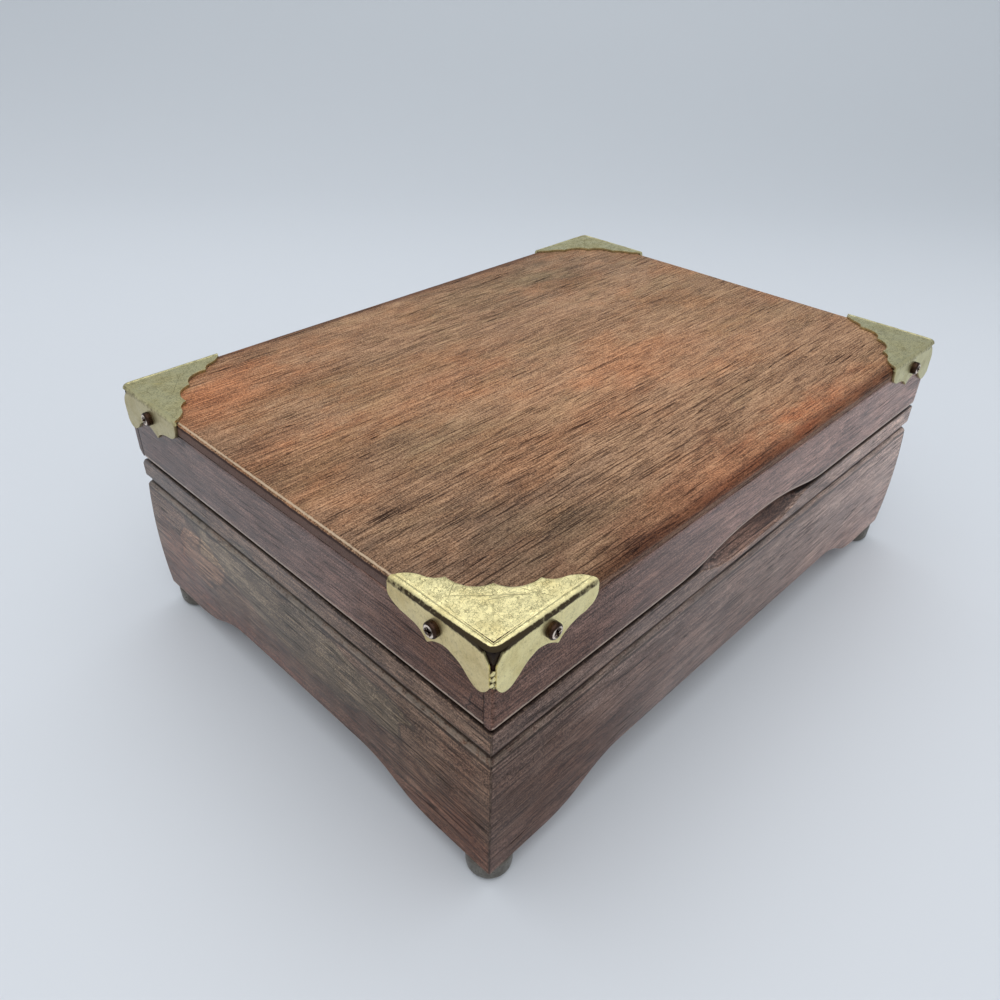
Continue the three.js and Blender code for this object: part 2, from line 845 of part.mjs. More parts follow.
// Arch in the front board's lower edge, drawn in X and Z
function lidArch() {
  const shape = new THREE.Shape();
  const crest = lidBottom + lidArchRise;
  shape.moveTo(-lidArchHalfWidth, lidBottom - cutMargin);
  shape.lineTo(-lidArchHalfWidth, lidBottom);
  shape.bezierCurveTo(
    -lidArchHalfWidth + lidArchSwingEdge, lidBottom,
    -lidArchSwingTop, crest,
    0, crest,
  );
  shape.bezierCurveTo(
    lidArchSwingTop, crest,
    lidArchHalfWidth - lidArchSwingEdge, lidBottom,
    lidArchHalfWidth, lidBottom,
  );
  shape.lineTo(lidArchHalfWidth, lidBottom - cutMargin);
  shape.closePath();
  return prismAlongY(shape, -halfDepth - cutMargin, -innerHalfDepth + cutMargin, pullCurveSegments);
}

// Lid board section with its outer lower edge eased, drawn for the front side in Y and Z
function lidSection(faceDistance, thickness) {
  const radius = lidRimRoundRadius;
  return shapeOf([
    ...arcPoints(-faceDistance + radius, lidBottom + radius, radius, 180, 270, edgeRoundSegments),
    [-faceDistance + thickness, lidBottom],
    [-faceDistance + thickness, lidRailTop],
    [-faceDistance, lidRailTop],
  ]);
}

// Long lid board: full length, with a thin tongue over the end of each short board
function lidLongBoard() {
  const board = prismAlongX(lidSection(halfDepth, wallThickness), -halfLength, halfLength);
  const rebates = [-1, 1].map((sign) => {
    const near = sign * (halfLength + cutMargin);
    const far = sign * (innerHalfLength - jointGap);
    return block(
      [Math.min(near, far), -halfDepth + lidTongueThickness - jointGap, lidBottom - cutMargin],
      [Math.max(near, far), -innerHalfDepth + cutMargin, boxHeight],
    );
  });
  return withoutAll(board, rebates);
}

function lidShortBoard() {
  const reach = halfDepth - lidTongueThickness - jointGap;
  return prismAlongX(lidSection(halfLength, wallThickness), -reach, reach);
}

function lidSides(holes) {
  const colour = plain(lidRailColour, satinRoughness);
  const long = lidLongBoard();
  const short = lidShortBoard();
  const backCuts = [stopBevel(1, halfLength), ...barrelNotches(), ...holes];
  return [
    piece('lid_front', withoutAll(long.subtract(lidArch()), holes), colour.clone()),
    piece('lid_back', withoutAll(turnedAboutUp(long, 2), backCuts), colour.clone()),
    piece('lid_left', withoutAll(turnedAboutUp(short, -1), holes), colour.clone()),
    piece('lid_right', withoutAll(turnedAboutUp(short, 1), holes), colour.clone()),
  ];
}

// Padded board in the lid with the mirror sunk into it
function lidInside() {
  const top = lidRailTop - liningGap;
  const low = top - lidLiningThickness;
  const reachX = innerHalfLength - liningGap;
  const reachY = innerHalfDepth - liningGap;
  const board = block([-reachX, -reachY, low], [reachX, reachY, top]);
  const halfX = innerHalfLength - mirrorFromEnd;
  const halfY = innerHalfDepth - mirrorFromSide;
  const recess = block(
    [-halfX - liningGap, -halfY - liningGap, low - cutMargin],
    [halfX + liningGap, halfY + liningGap, low + mirrorSink + liningGap],
  );
  const mirrorTop = low + mirrorSink;
  const glass = block([-halfX, -halfY, mirrorTop - mirrorThickness], [halfX, halfY, mirrorTop]);
  return [
    piece('lid_lining', board.subtract(recess), plain(velvetColour, clothRoughness)),
    piece('lid_mirror', glass, metal(mirrorColour, clearRoughness)),
  ];
}

// Corner cap, made at the origin with its legs along +X and +Y and the wood's top at z = 0

function capFold() {
  const centre = -capClearance + capBendRadius;
  const outerRadius = capBendRadius + capThickness;
  const reach = capLegLength;
  const depth = -capSideLobeSwing[1] - cutMargin;
  const top = capClearance - capBendRadius;
  return shapeOf([
    [reach, capClearance],
    [reach, capOuter],
    ...arcPoints(centre, top, outerRadius, 90, 180, capBendSegments),
    [-capOuter, depth],
    [-capClearance, depth],
    ...arcPoints(centre, top, capBendRadius, 180, 90, capBendSegments),
  ]);
}

function capPlanOutline() {
  const shape = new THREE.Shape();
  const edge = -capOuter;
  const middle = capPlanMiddleCusp;
  shape.moveTo(edge, edge + capCornerRadius);
  shape.quadraticCurveTo(edge, edge, edge + capCornerRadius, edge);
  shape.lineTo(capLegLength, edge);
  shape.quadraticCurveTo(capPlanEndBelly[0], capPlanEndBelly[1], capPlanEndWaist[0], capPlanEndWaist[1]);
  shape.quadraticCurveTo(capPlanCuspHollow[0], capPlanCuspHollow[1], capPlanCusp[0], capPlanCusp[1]);
  shape.bezierCurveTo(
    capPlanArcOuter[0], capPlanArcOuter[1],
    capPlanArcInner[0], capPlanArcInner[1],
    middle, middle,
  );
  shape.bezierCurveTo(
    capPlanArcInner[1], capPlanArcInner[0],
    capPlanArcOuter[1], capPlanArcOuter[0],
    capPlanCusp[1], capPlanCusp[0],
  );
  shape.quadraticCurveTo(capPlanCuspHollow[1], capPlanCuspHollow[0], capPlanEndWaist[1], capPlanEndWaist[0]);
  shape.quadraticCurveTo(capPlanEndBelly[1], capPlanEndBelly[0], edge, capLegLength);
  shape.closePath();
  return shape;
}

// Side flange outline: distance from the corner, then height (down is negative)
function capSideOutline() {
  const shape = new THREE.Shape();
  const above = capOuter + cutMargin;
  const before = -capOuter - cutMargin;
  shape.moveTo(before, above);
  shape.lineTo(before, -capEdgeDrop);
  shape.lineTo(capHoleTop[0], -capEdgeDrop);
  shape.lineTo(capHoleTop[0], -capHoleTop[1]);
  shape.quadraticCurveTo(capHoleSwing[0], -capHoleSwing[1], capSeamGap, -capHoleFoot);
  shape.lineTo(capSeamGap, -capSeamFoot);
  shape.quadraticCurveTo(capSideLobeTipSwing[0], -capSideLobeTipSwing[1], capSideLobe[0], -capSideLobe[1]);
  shape.quadraticCurveTo(capSideLobeSwing[0], -capSideLobeSwing[1], capSideFlank[0], -capSideFlank[1]);
  shape.quadraticCurveTo(
    capSideShoulderSwing[0], -capSideShoulderSwing[1],
    capSideShoulder[0], -capSideShoulder[1],
  );
  shape.quadraticCurveTo(capSideCuspHollow[0], -capSideCuspHollow[1], capSideCusp[0], -capSideCusp[1]);
  shape.quadraticCurveTo(capSideWaistHollow[0], -capSideWaistHollow[1], capSideWaist[0], -capSideWaist[1]);
  shape.quadraticCurveTo(capSideEndBelly[0], -capSideEndBelly[1], capLegLength, -capSideEndTop);
  shape.lineTo(capLegLength, above);
  shape.closePath();
  return shape;
}

function capBody() {
  const reach = capLegLength + cutMargin;
  const out = -capOuter - cutMargin;
  const fold = capFold();
  const lowest = -capSideLobeSwing[1] - cutMargin;
  const plan = prismUp(capPlanOutline(), lowest, capOuter + cutMargin, capCurveSegments);
  const side = capSideOutline();
  const leftFold = prismAlongY(fold, -capOuter, reach);
  const frontFold = prismAlongX(fold, -capOuter, reach);
  const left = leftFold.intersect(prismAlongX(side, out, reach, capCurveSegments));
  const front = frontFold.intersect(prismAlongY(side, out, reach, capCurveSegments));
  const inward = cutMargin * 2;
  const leftHole = bar('x', out, inward, [capScrewFromCorner, -capScrewDrop], capHoleRadius, screwSegments);
  const frontHole = bar('y', out, inward, [capScrewFromCorner, -capScrewDrop], capHoleRadius, screwSegments);
  return left.add(front).intersect(plan).subtract(leftHole).subtract(frontHole);
}

// The cap as made belongs at the front left corner, so each one is turned from there to its own
function cornerCaps() {
  const body = capBody();
  return atEachCorner((corner, signX, signY) => {
    const geometry = geometryFrom(body);
    geometry.rotateZ(Math.atan2(signY, signX) - Math.atan2(-1, -1));
    geometry.translate(signX * halfLength, signY * halfDepth, boxHeight);
    return piece(`cap_${corner}`, geometry, metal(capBrassColour, satinRoughness));
  });
}

// Screw with its head's seat at the origin and its head up
function panScrew(headRadius, headHeight, shankRadius, shankLength, tipLength) {
  const flat = headRadius * screwHeadFlatShare;
  return turned([
    [0, -shankLength],
    [shankRadius, -shankLength + tipLength],
    [shankRadius, 0],
    [headRadius, 0],
    [headRadius, headHeight * screwHeadEdgeShare],
    [flat, headHeight],
    [0, headHeight],
  ], screwSegments);
}

function capScrew(name, turn, x, y) {
  const screw = panScrew(
    screwHeadRadius, screwHeadHeight,
    screwShankRadius, screwShankLength, screwTipLength,
  );
  turn(screw);
  screw.translate(x, y, boxHeight - capScrewDrop);
  return piece(name, geometryFrom(solidFrom(screw)), metal(darkScrewColour, satinRoughness));
}

// Each cap has one screw through its flange on the short side and one on the long side
function capScrews() {
  const reach = screwSeatGap + capOuter;
  const quarter = Math.PI / 2;
  return atEachCorner((corner, signX, signY) => [
    capScrew(
      `cap_screw_${corner}_end`, (screw) => screw.rotateY(signX * quarter),
      signX * (halfLength + reach), signY * (halfDepth - capScrewFromCorner),
    ),
    capScrew(
      `cap_screw_${corner}_face`, (screw) => screw.rotateX(-signY * quarter),
      signX * (halfLength - capScrewFromCorner), signY * (halfDepth + reach),
    ),
  ]);
}

// Butt hinge leaf with its own share of the knuckles
function hingeLeaf(name, middle, ownsEvenKnuckles, low) {
  const start = middle - hingeLength / 2;
  const end = start + hingeLength;
  const pitch = hingeLength / hingeKnuckleCount;
  const high = low + hingeLeafThickness;
  const plateBack = hingeAxisY - hingeBarrelRadius - hingeBarrelClearance / 2;
  const plateFront = plateBack - hingeLeafDepth + hingeBarrelClearance;
  let leaf = block([start, plateFront, low], [end, plateBack, high]);
  const boreRadius = hingePinRadius + hingePinClearance;
  const axis = [hingeAxisY, hingeAxisZ];
  for (let knuckle = 0; knuckle < hingeKnuckleCount; knuckle += 1) {
    const isEven = knuckle % 2 === 0;
    if (isEven === ownsEvenKnuckles) {
      const from = start + pitch * knuckle + hingeKnuckleGap / 2;
      const to = from + pitch - hingeKnuckleGap;
      const tab = block([from, plateBack - hingeTabOverlap, low], [to, hingeAxisY - boreRadius, high]);
      const ring = bar('x', from, to, axis, hingeBarrelRadius, hingeSegments);
      leaf = leaf.add(tab).add(ring);
    }
  }
  const bore = bar('x', start - cutMargin, end + cutMargin, axis, boreRadius, hingeSegments);
  return piece(name, leaf.subtract(bore), metal(plainBrassColour, satinRoughness));
}

function hinges() {
  const nodes = [];
  [['left', -1], ['right', 1]].forEach(([side, sign]) => {
    const middle = sign * hingeMiddleX;
    const lowLeaf = rimTop + hingeLeafSeatGap;
    const highLeaf = lidBottom - hingeLeafSeatGap - hingeLeafThickness;
    nodes.push(hingeLeaf(`hinge_${side}_base_leaf`, middle, true, lowLeaf));
    nodes.push(hingeLeaf(`hinge_${side}_lid_leaf`, middle, false, highLeaf));
    const half = hingeLength / 2;
    const axis = [hingeAxisY, hingeAxisZ];
    const pin = bar('x', middle - half, middle + half, axis, hingePinRadius, hingeSegments);
    nodes.push(piece(`hinge_${side}_pin`, pin, metal(plainBrassColour, polishedRoughness)));
  });
  return nodes;
}

// Movement parts are made about the middle of the bed's underside and moved into the well at the end
function placedInWell(mesh) {
  mesh.geometry.translate(movementX, movementY, floorTop + bedSeatGap);
  return mesh;
}

function archedPost(start) {
  const left = drumAxisV - postHalfWidth;
  const right = drumAxisV + postHalfWidth;
  const outline = shapeOf([
    [left, bedThickness - bedSeatGap],
    [right, bedThickness - bedSeatGap],
    ...arcPoints(drumAxisV, drumAxisHeight, postTopRadius, 0, 180, frameCurveSegments),
  ]);
  return prismAlongX(outline, start, start + postThickness);
}

function movementFrame() {
  const halfU = movementLength / 2;
  const halfV = movementDepth / 2;
  const corner = bedCornerRadius;
  const outline = shapeOf([
    ...arcPoints(halfU - corner, halfV - corner, corner, 0, 90, bedCornerSegments),
    ...arcPoints(-halfU + corner, halfV - corner, corner, 90, 180, bedCornerSegments),
    ...arcPoints(-halfU + corner, -halfV + corner, corner, 180, 270, bedCornerSegments),
    ...arcPoints(halfU - corner, -halfV + corner, corner, 270, 360, bedCornerSegments),
  ]);
  const bed = prismUp(outline, 0, bedThickness);
  const shelfEnd = shelfStart + shelfLength;
  const shelfBack = shelfFront + shelfDepth;
  const sink = bedThickness / 2;
  const shelf = block([shelfStart, shelfFront, shelfTop - shelfThickness], [shelfEnd, shelfBack, shelfTop]);
  const legLeft = block([shelfStart, shelfFront, sink], [shelfStart + shelfLegLength, shelfBack, shelfTop]);
  const legRight = block([shelfEnd - shelfLegLength, shelfFront, sink], [shelfEnd, shelfBack, shelfTop]);
  const posts = archedPost(leftPostStart).add(archedPost(rightPostStart));
  const axle = bar(
    'x', leftPostStart - cutMargin, rightPostStart + postThickness + cutMargin,
    [drumAxisV, drumAxisHeight], arborRadius + runningClearance, arborSegments,
  );
  const winding = bar(
    'z', -cutMargin, bedThickness + cutMargin,
    [barrelU, drumAxisV], windingArborRadius + runningClearance, arborSegments,
  );
  const flyHole = bar(
    'z', -cutMargin, bedThickness + cutMargin,
    [flyU, flyV], flyShaftRadius + runningClearance, arborSegments,
  );
  const screwHoles = combScrewMiddles().map(([u, v]) => bar(
    'z', shelfTop - combScrewShankLength, shelfTop + cutMargin,
    [u, v], combScrewShankRadius + screwPilotClearance, screwSegments,
  ));
  const solid = bed.add(shelf).add(legLeft).add(legRight).add(posts);
  const body = withoutAll(solid, [axle, winding, flyHole, ...screwHoles]);
  return piece('movement_frame', body, metal(zincColour, satinRoughness));
}

function combScrewMiddles() {
  const v = shelfFront + combScrewFromFront;
  return [
    [shelfStart + combScrewFromEdge, v],
    [shelfStart + shelfLength - combScrewFromEdge, v],
  ];
}

// Steel comb: teeth grow longer from one end to the other
function comb() {
  const tipV = drumAxisV - drumRadius - combTipClearance;
  const first = drumStart + combEdgeMargin;
  const pitch = (drumLength - combEdgeMargin * 2) / combTeeth;
  const points = [[shelfStart, shelfFront], [shelfStart + shelfLength, shelfFront]];
  const shoulder = tipV - combLongTooth;
  points.push([shelfStart + shelfLength, shoulder]);
  for (let tooth = combTeeth - 1; tooth >= 0; tooth -= 1) {
    const share = tooth / (combTeeth - 1);
    const root = tipV - combLongTooth + (combLongTooth - combShortTooth) * share;
    const left = first + pitch * tooth + combToothGap / 2;
    const right = left + pitch - combToothGap;
    points.push([right, root], [right, tipV], [left, tipV], [left, root]);
  }
  points.push([shelfStart, shoulder]);
  const low = shelfTop + combSeatGap;
  const plate = prismUp(shapeOf(points), low, low + combThickness);
  const holes = combScrewMiddles().map(([u, v]) => bar(
    'z', low - cutMargin, low + combThickness + cutMargin,
    [u, v], combScrewShankRadius + screwPilotClearance, screwSegments,
  ));
  return piece('comb', withoutAll(plate, holes), metal(steelColour, polishedRoughness));
}

function combScrews() {
  const seat = shelfTop + combSeatGap + combThickness + screwSeatGap;
  return combScrewMiddles().map(([u, v], index) => {
    const screw = panScrew(
      combScrewHeadRadius, combScrewHeadHeight,
      combScrewShankRadius, combScrewShankLength, combScrewTipLength,
    );
    screw.translate(u, v, seat);
    const geometry = geometryFrom(solidFrom(screw));
    return piece(`comb_screw_${index + 1}`, geometry, metal(plainBrassColour, satinRoughness));
  });
}

function drum() {
  const axis = [drumAxisV, drumAxisHeight];
  const end = drumStart + drumLength;
  const tube = bar('x', drumStart, end, axis, drumRadius, drumSegments);
  const boreRadius = arborRadius + pressFitGap;
  const bore = bar('x', drumStart - cutMargin, end + cutMargin, axis, boreRadius, arborSegments);
  return piece('drum', tube.subtract(bore), metal(plainBrassColour, polishedRoughness));
}

function drumArbor() {
  const shaft = bar('x', arborStart, arborEnd, [drumAxisV, drumAxisHeight], arborRadius, arborSegments);
  const halfPitch = Math.PI / drumPinionTeeth;
  const firstTooth = halfPitch - Math.PI / 2;
  const outline = gearShape(drumPinionTeeth, crownModule, firstTooth, drumAxisV, drumAxisHeight);
  const pinion = prismAlongX(outline, drumPinionStart, drumPinionStart + drumPinionLength);
  return piece('drum_arbor', shaft.add(pinion), metal(steelColour, satinRoughness));
}

function drumGear() {
  const outline = gearShape(drumGearTeeth, gearModule, governorMeshAngle, drumAxisV, drumAxisHeight);
  const wheel = prismAlongX(outline, drumGearStart, drumGearStart + drumGearThickness);
  const bore = bar(
    'x', drumGearStart - cutMargin, drumGearStart + drumGearThickness + cutMargin,
    [drumAxisV, drumAxisHeight], arborRadius + pressFitGap, arborSegments,
  );
  return piece('drum_gear', wheel.subtract(bore), metal(plainBrassColour, satinRoughness));
}

// Open cup with a ring of crown teeth standing on its rim
function springBarrel() {
  const inner = barrelRadius - barrelWall;
  const hole = windingArborRadius + runningClearance;
  const flangeLow = barrelTop - barrelFlangeThickness;
  const cup = turned([
    [hole, flangeLow],
    [inner, flangeLow],
    [inner, barrelBottom],
    [barrelRadius, barrelBottom],
    [barrelRadius, flangeLow],
    [barrelFlangeRadius, flangeLow],
    [barrelFlangeRadius, barrelTop],
    [hole, barrelTop],
    [hole, flangeLow],
  ], barrelTeeth);
  let body = solidFrom(cup);
  const top = barrelTop + crownToothHeight;
  const tooth = shapeOf([
    [-crownToothBase / 2, barrelTop - crownToothSink],
    [crownToothBase / 2, barrelTop - crownToothSink],
    [crownToothTip / 2, top],
    [-crownToothTip / 2, top],
  ]);
  const teeth = extruded(tooth, barrelFlangeRadius - crownToothInner - jointGap, 1);
  const lay = new THREE.Matrix4().makeBasis(
    new THREE.Vector3(0, 1, 0),
    new THREE.Vector3(0, 0, 1),
    new THREE.Vector3(1, 0, 0),
  );
  teeth.applyMatrix4(lay);
  teeth.translate(crownToothInner, 0, 0);
  for (let index = 0; index < barrelTeeth; index += 1) {
    const turnedTooth = teeth.clone();
    turnedTooth.rotateZ((index * Math.PI * 2) / barrelTeeth);
    body = body.add(solidFrom(turnedTooth));
  }
  const geometry = geometryFrom(body);
  geometry.translate(barrelU, drumAxisV, 0);
  return piece('spring_barrel', geometry, metal(steelColour, satinRoughness));
}

function mainspring() {
  const steps = springTurns * springStepsPerTurn;
  const outside = [];
  const inside = [];
  for (let step = 0; step <= steps; step += 1) {
    const share = step / steps;
    const radius = springInnerRadius + (springOuterRadius - springInnerRadius) * share;
    const angle = (step / springStepsPerTurn) * Math.PI * 2;
    const outer = radius + springThickness / 2;
    const inner = radius - springThickness / 2;
    outside.push([Math.cos(angle) * outer, Math.sin(angle) * outer]);
    inside.push([Math.cos(angle) * inner, Math.sin(angle) * inner]);
  }
  const outline = shapeOf([...outside, ...inside.reverse()]);
  const strip = prismUp(outline, springBottom, springBottom + springHeight);
  const geometry = geometryFrom(strip);
  geometry.translate(barrelU, drumAxisV, 0);
  return piece('mainspring', geometry, metal(steelColour, polishedRoughness));
}

function windingArbor() {
  const axis = [barrelU, drumAxisV];
  const shaft = bar('z', windingArborFoot, windingArborTop, axis, windingArborRadius, arborSegments);
  return piece('winding_arbor', shaft, metal(steelColour, satinRoughness));
}

function ratchetWheel() {
  const points = [];
  const pitch = (Math.PI * 2) / ratchetTeeth;
  for (let tooth = 0; tooth < ratchetTeeth; tooth += 1) {
    const angle = tooth * pitch;
    points.push([ratchetRootRadius * Math.cos(angle), ratchetRootRadius * Math.sin(angle)]);
    points.push([ratchetTipRadius * Math.cos(angle), ratchetTipRadius * Math.sin(angle)]);
  }
  const wheel = prismUp(shapeOf(points), ratchetBottom, ratchetBottom + ratchetThickness);
  const bore = bar(
    'z', ratchetBottom - cutMargin, ratchetBottom + ratchetThickness + cutMargin,
    [0, 0], windingArborRadius + pressFitGap, arborSegments,
  );
  const geometry = geometryFrom(wheel.subtract(bore));
  geometry.translate(barrelU, drumAxisV, 0);
  return piece('ratchet_wheel', geometry, metal(steelColour, satinRoughness));
}

// Pawl that stops the ratchet wheel from running back, on the bed under the barrel
function click() {
  const outline = shapeOf([
    ...arcPoints(0, 0, clickPivotRadius, 90, 270, frameCurveSegments),
    [clickLength, -clickWidth / 2],
    [clickLength, -clickWidth / 2 + clickNoseWidth],
  ]);
  const low = bedThickness + bedSeatGap;
  const body = prismUp(outline, low, ratchetBottom + ratchetThickness);
  const geometry = geometryFrom(body);
  geometry.rotateZ(THREE.MathUtils.degToRad(clickTurnDegrees));
  geometry.translate(barrelU + clickFromBarrelU, drumAxisV + clickFromBarrelV, 0);
  return piece('click', geometry, metal(steelColour, satinRoughness));
}

// Butterfly key under the box; heights here are above the floor
function windingKey() {
  const x = movementX + barrelU;
  const y = movementY + drumAxisV;
  const middleZ = (keyWingTop + keyWingBottom) / 2;
  const shape = new THREE.Shape();
  shape.moveTo(0, middleZ + keyWaistHalfHeight);
  shape.quadraticCurveTo(keyWingHalfSpan / 2, keyWingTop, keyWingHalfSpan - keyEyeRadius, keyWingTop);
  shape.quadraticCurveTo(keyWingHalfSpan, keyWingTop, keyWingHalfSpan, middleZ);
  shape.quadraticCurveTo(keyWingHalfSpan, keyWingBottom, keyWingHalfSpan - keyEyeRadius, keyWingBottom);
  shape.quadraticCurveTo(keyWingHalfSpan / 2, keyWingBottom, 0, middleZ - keyWaistHalfHeight);
  shape.quadraticCurveTo(-keyWingHalfSpan / 2, keyWingBottom, -keyWingHalfSpan + keyEyeRadius, keyWingBottom);
  shape.quadraticCurveTo(-keyWingHalfSpan, keyWingBottom, -keyWingHalfSpan, middleZ);
  shape.quadraticCurveTo(-keyWingHalfSpan, keyWingTop, -keyWingHalfSpan + keyEyeRadius, keyWingTop);
  shape.quadraticCurveTo(-keyWingHalfSpan / 2, keyWingTop, 0, middleZ + keyWaistHalfHeight);
  const half = keyWingThickness / 2;
  const wings = prismAlongY(shape, -half, half, keyCurveSegments);
  const bossLow = keyBossBottom - keyWaistHalfHeight;
  const boss = bar('z', bossLow, keyBossTop, [0, 0], keyBossRadius, keyBossSegments);
  const arborFoot = floorTop + bedSeatGap + windingArborFoot;
  const bore = bar(
    'z', arborFoot - pressFitGap, keyBossTop + cutMargin,
    [0, 0], windingArborRadius + pressFitGap, arborSegments,
  );
  const eyes = [-1, 1].map((sign) => bar(
    'y', -half - cutMargin, half + cutMargin,
    [sign * keyEyeFromAxis, middleZ], keyEyeRadius, arborSegments,
  ));
  const body = withoutAll(wings.add(boss), [bore, ...eyes]);
  const geometry = geometryFrom(body);
  geometry.translate(x, y, 0);
  return piece('winding_key', geometry, metal(plainBrassColour, satinRoughness));
}

function governorWheel() {
  const axis = [governorV, governorHeight];
  const shaft = bar('x', governorArborStart, governorArborEnd, axis, governorArborRadius, arborSegments);
  const pinionPitch = (Math.PI * 2) / governorPinionTeeth;
  const pinionTurn = governorMeshAngle + Math.PI + pinionPitch / 2;
  const pinionOutline = gearShape(governorPinionTeeth, gearModule, pinionTurn, governorV, governorHeight);
  const pinion = prismAlongX(pinionOutline, governorPinionStart, governorPinionStart + governorPinionLength);
  const wheelOutline = gearShape(governorWheelTeeth, governorWheelModule, 0, governorV, governorHeight);
  const wheel = prismAlongX(wheelOutline, governorWheelStart, governorWheelStart + governorWheelThickness);
  return piece('governor_wheel', shaft.add(pinion).add(wheel), metal(plainBrassColour, satinRoughness));
}

function governorFly() {
  const shaft = bar('z', flyShaftFoot, flyShaftTop, [flyU, flyV], flyShaftRadius, arborSegments);
  const half = flyWingThickness / 2;
  const reach = flyWingRadius;
  const [low, high] = [flyWingBottom, flyWingTop];
  const wingPair = block([flyU - reach, flyV - half, low], [flyU + reach, flyV + half, high]);
  const crossPair = block([flyU - half, flyV - reach, low], [flyU + half, flyV + reach, high]);
  return piece('governor_fly', shaft.add(wingPair).add(crossPair), metal(steelColour, polishedRoughness));
}

// Portal bracket that carries the governor wheel and the fly, with a guide ear for the stop lever
function governorFrame() {
  const top = governorBridgeBottom + governorPlateThickness;
  const foot = bedThickness + bedSeatGap;
  const outline = shapeOf([
    [governorPlateFront, foot],
    [governorPlateBack, foot],
    [governorPlateBack, top],
    [governorPlateStep, top],
    [governorPlateStep, governorPlateStepHeight],
    [governorPlateFront, governorPlateStepHeight],
  ]);
  const left = prismAlongX(outline, governorLeftPlate, governorLeftPlate + governorPlateThickness);
  const right = prismAlongX(outline, governorRightPlate, governorRightPlate + governorPlateThickness);
  const bridge = block(
    [governorLeftPlate, governorPlateStep, governorBridgeBottom],
    [governorRightPlate + governorPlateThickness, governorPlateBack, top],
  );
  const ear = block(
    [flyU - stopGuideWidth / 2, governorPlateBack - governorPlateThickness, governorBridgeBottom],
    [flyU + stopGuideWidth / 2, stopRodV + stopGuideMargin, top],
  );
  const arborHole = bar(
    'x', governorLeftPlate - cutMargin, governorRightPlate + governorPlateThickness + cutMargin,
    [governorV, governorHeight], governorArborRadius + runningClearance, governorHoleSegments,
  );
  const flyHole = bar(
    'z', governorBridgeBottom - cutMargin, top + cutMargin,
    [flyU, flyV], flyShaftRadius + runningClearance, governorHoleSegments,
  );
  const rodHole = bar(
    'z', governorBridgeBottom - cutMargin, top + cutMargin,
    [flyU, stopRodV], stopRodRadius + runningClearance, governorHoleSegments,
  );
  const body = withoutAll(left.add(right).add(bridge).add(ear), [arborHole, flyHole, rodHole]);
  return piece('governor_frame', body, metal(plainBrassColour, dullRoughness));
}

// Push rod with a collar that carries the arm: the lid presses the rod and the arm reaches in beside the fly
function stopLever() {
  const top = stopPlateLow - stopRodTopGap - floorTop - bedSeatGap;
  const rod = bar('z', stopRodFoot, top, [flyU, stopRodV], stopRodRadius, stopSegments);
  const tip = flyV + flyWingRadius + stopArmTipGap;
  const arm = bar('y', tip, stopRodV, [flyU, stopArmHeight], stopArmRadius, stopSegments);
  const collarLow = stopArmHeight - stopCollarHalfHeight;
  const collarHigh = stopArmHeight + stopCollarHalfHeight;
  const collar = bar('z', collarLow, collarHigh, [flyU, stopRodV], stopCollarRadius, stopSegments);
  return piece('stop_lever', rod.add(arm).add(collar), metal(steelColour, satinRoughness));
}

// Small plate under the lid's back board that presses the stop lever down
function stopPlate() {
  const x = movementX + flyU;
  const y = movementY + stopRodV;
  const plate = block(
    [x - stopPlateHalfLength, y - stopPlateBeforeRod, stopPlateLow],
    [x + stopPlateHalfLength, y + stopPlateBehindRod, stopPlateLow + stopPlateThickness],
  );
  return piece('stop_plate', plate, metal(plainBrassColour, satinRoughness));
}

function movement() {
  return [
    movementFrame(),
    comb(),
    ...combScrews(),
    drum(),
    drumArbor(),
    drumGear(),
    springBarrel(),
    mainspring(),
    windingArbor(),
    ratchetWheel(),
    click(),
    governorFrame(),
    governorWheel(),
    governorFly(),
    stopLever(),
  ].map(placedInWell);
}

const musicBox = new THREE.Group();
musicBox.name = 'music_box';
const screwHoles = capScrewHoles();
musicBox.add(
  ...caseSides(),
  bottomBoard(),
  ...feet(),
  ...dividers(),
  ...linings(),
  ...rimPads(),
  movementCover(),
  lidPanel(screwHoles),
  ...lidSides(screwHoles),
  ...lidInside(),
  ...cornerCaps(),
  ...capScrews(),
  ...hinges(),
  stopPlate(),
  ...movement(),
  windingKey(),
);

export default musicBox;
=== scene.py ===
"""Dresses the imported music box: moulded wooden case and lid, folded brass corner caps, velvet trays and the
pinned-drum movement in its well. Lengths are millimetres until a mesh is made."""

import math

import bmesh
import bpy
import numpy as np
from mathutils import Matrix, Vector


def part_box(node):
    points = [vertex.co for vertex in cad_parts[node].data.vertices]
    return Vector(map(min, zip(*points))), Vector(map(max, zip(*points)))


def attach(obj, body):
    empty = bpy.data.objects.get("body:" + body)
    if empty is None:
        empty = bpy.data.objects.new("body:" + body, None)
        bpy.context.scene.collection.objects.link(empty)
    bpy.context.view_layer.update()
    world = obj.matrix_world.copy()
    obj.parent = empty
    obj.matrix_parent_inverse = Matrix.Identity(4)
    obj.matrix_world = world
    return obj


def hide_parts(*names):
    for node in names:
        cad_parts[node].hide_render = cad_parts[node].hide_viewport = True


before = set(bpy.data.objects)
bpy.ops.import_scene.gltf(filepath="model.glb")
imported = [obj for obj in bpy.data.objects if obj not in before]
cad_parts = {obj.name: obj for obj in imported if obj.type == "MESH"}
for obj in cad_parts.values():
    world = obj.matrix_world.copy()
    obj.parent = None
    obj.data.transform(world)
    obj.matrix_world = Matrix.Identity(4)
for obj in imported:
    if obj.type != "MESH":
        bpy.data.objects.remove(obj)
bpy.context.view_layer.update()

MM = 0.001
JOIN_DISTANCE = 2e-7

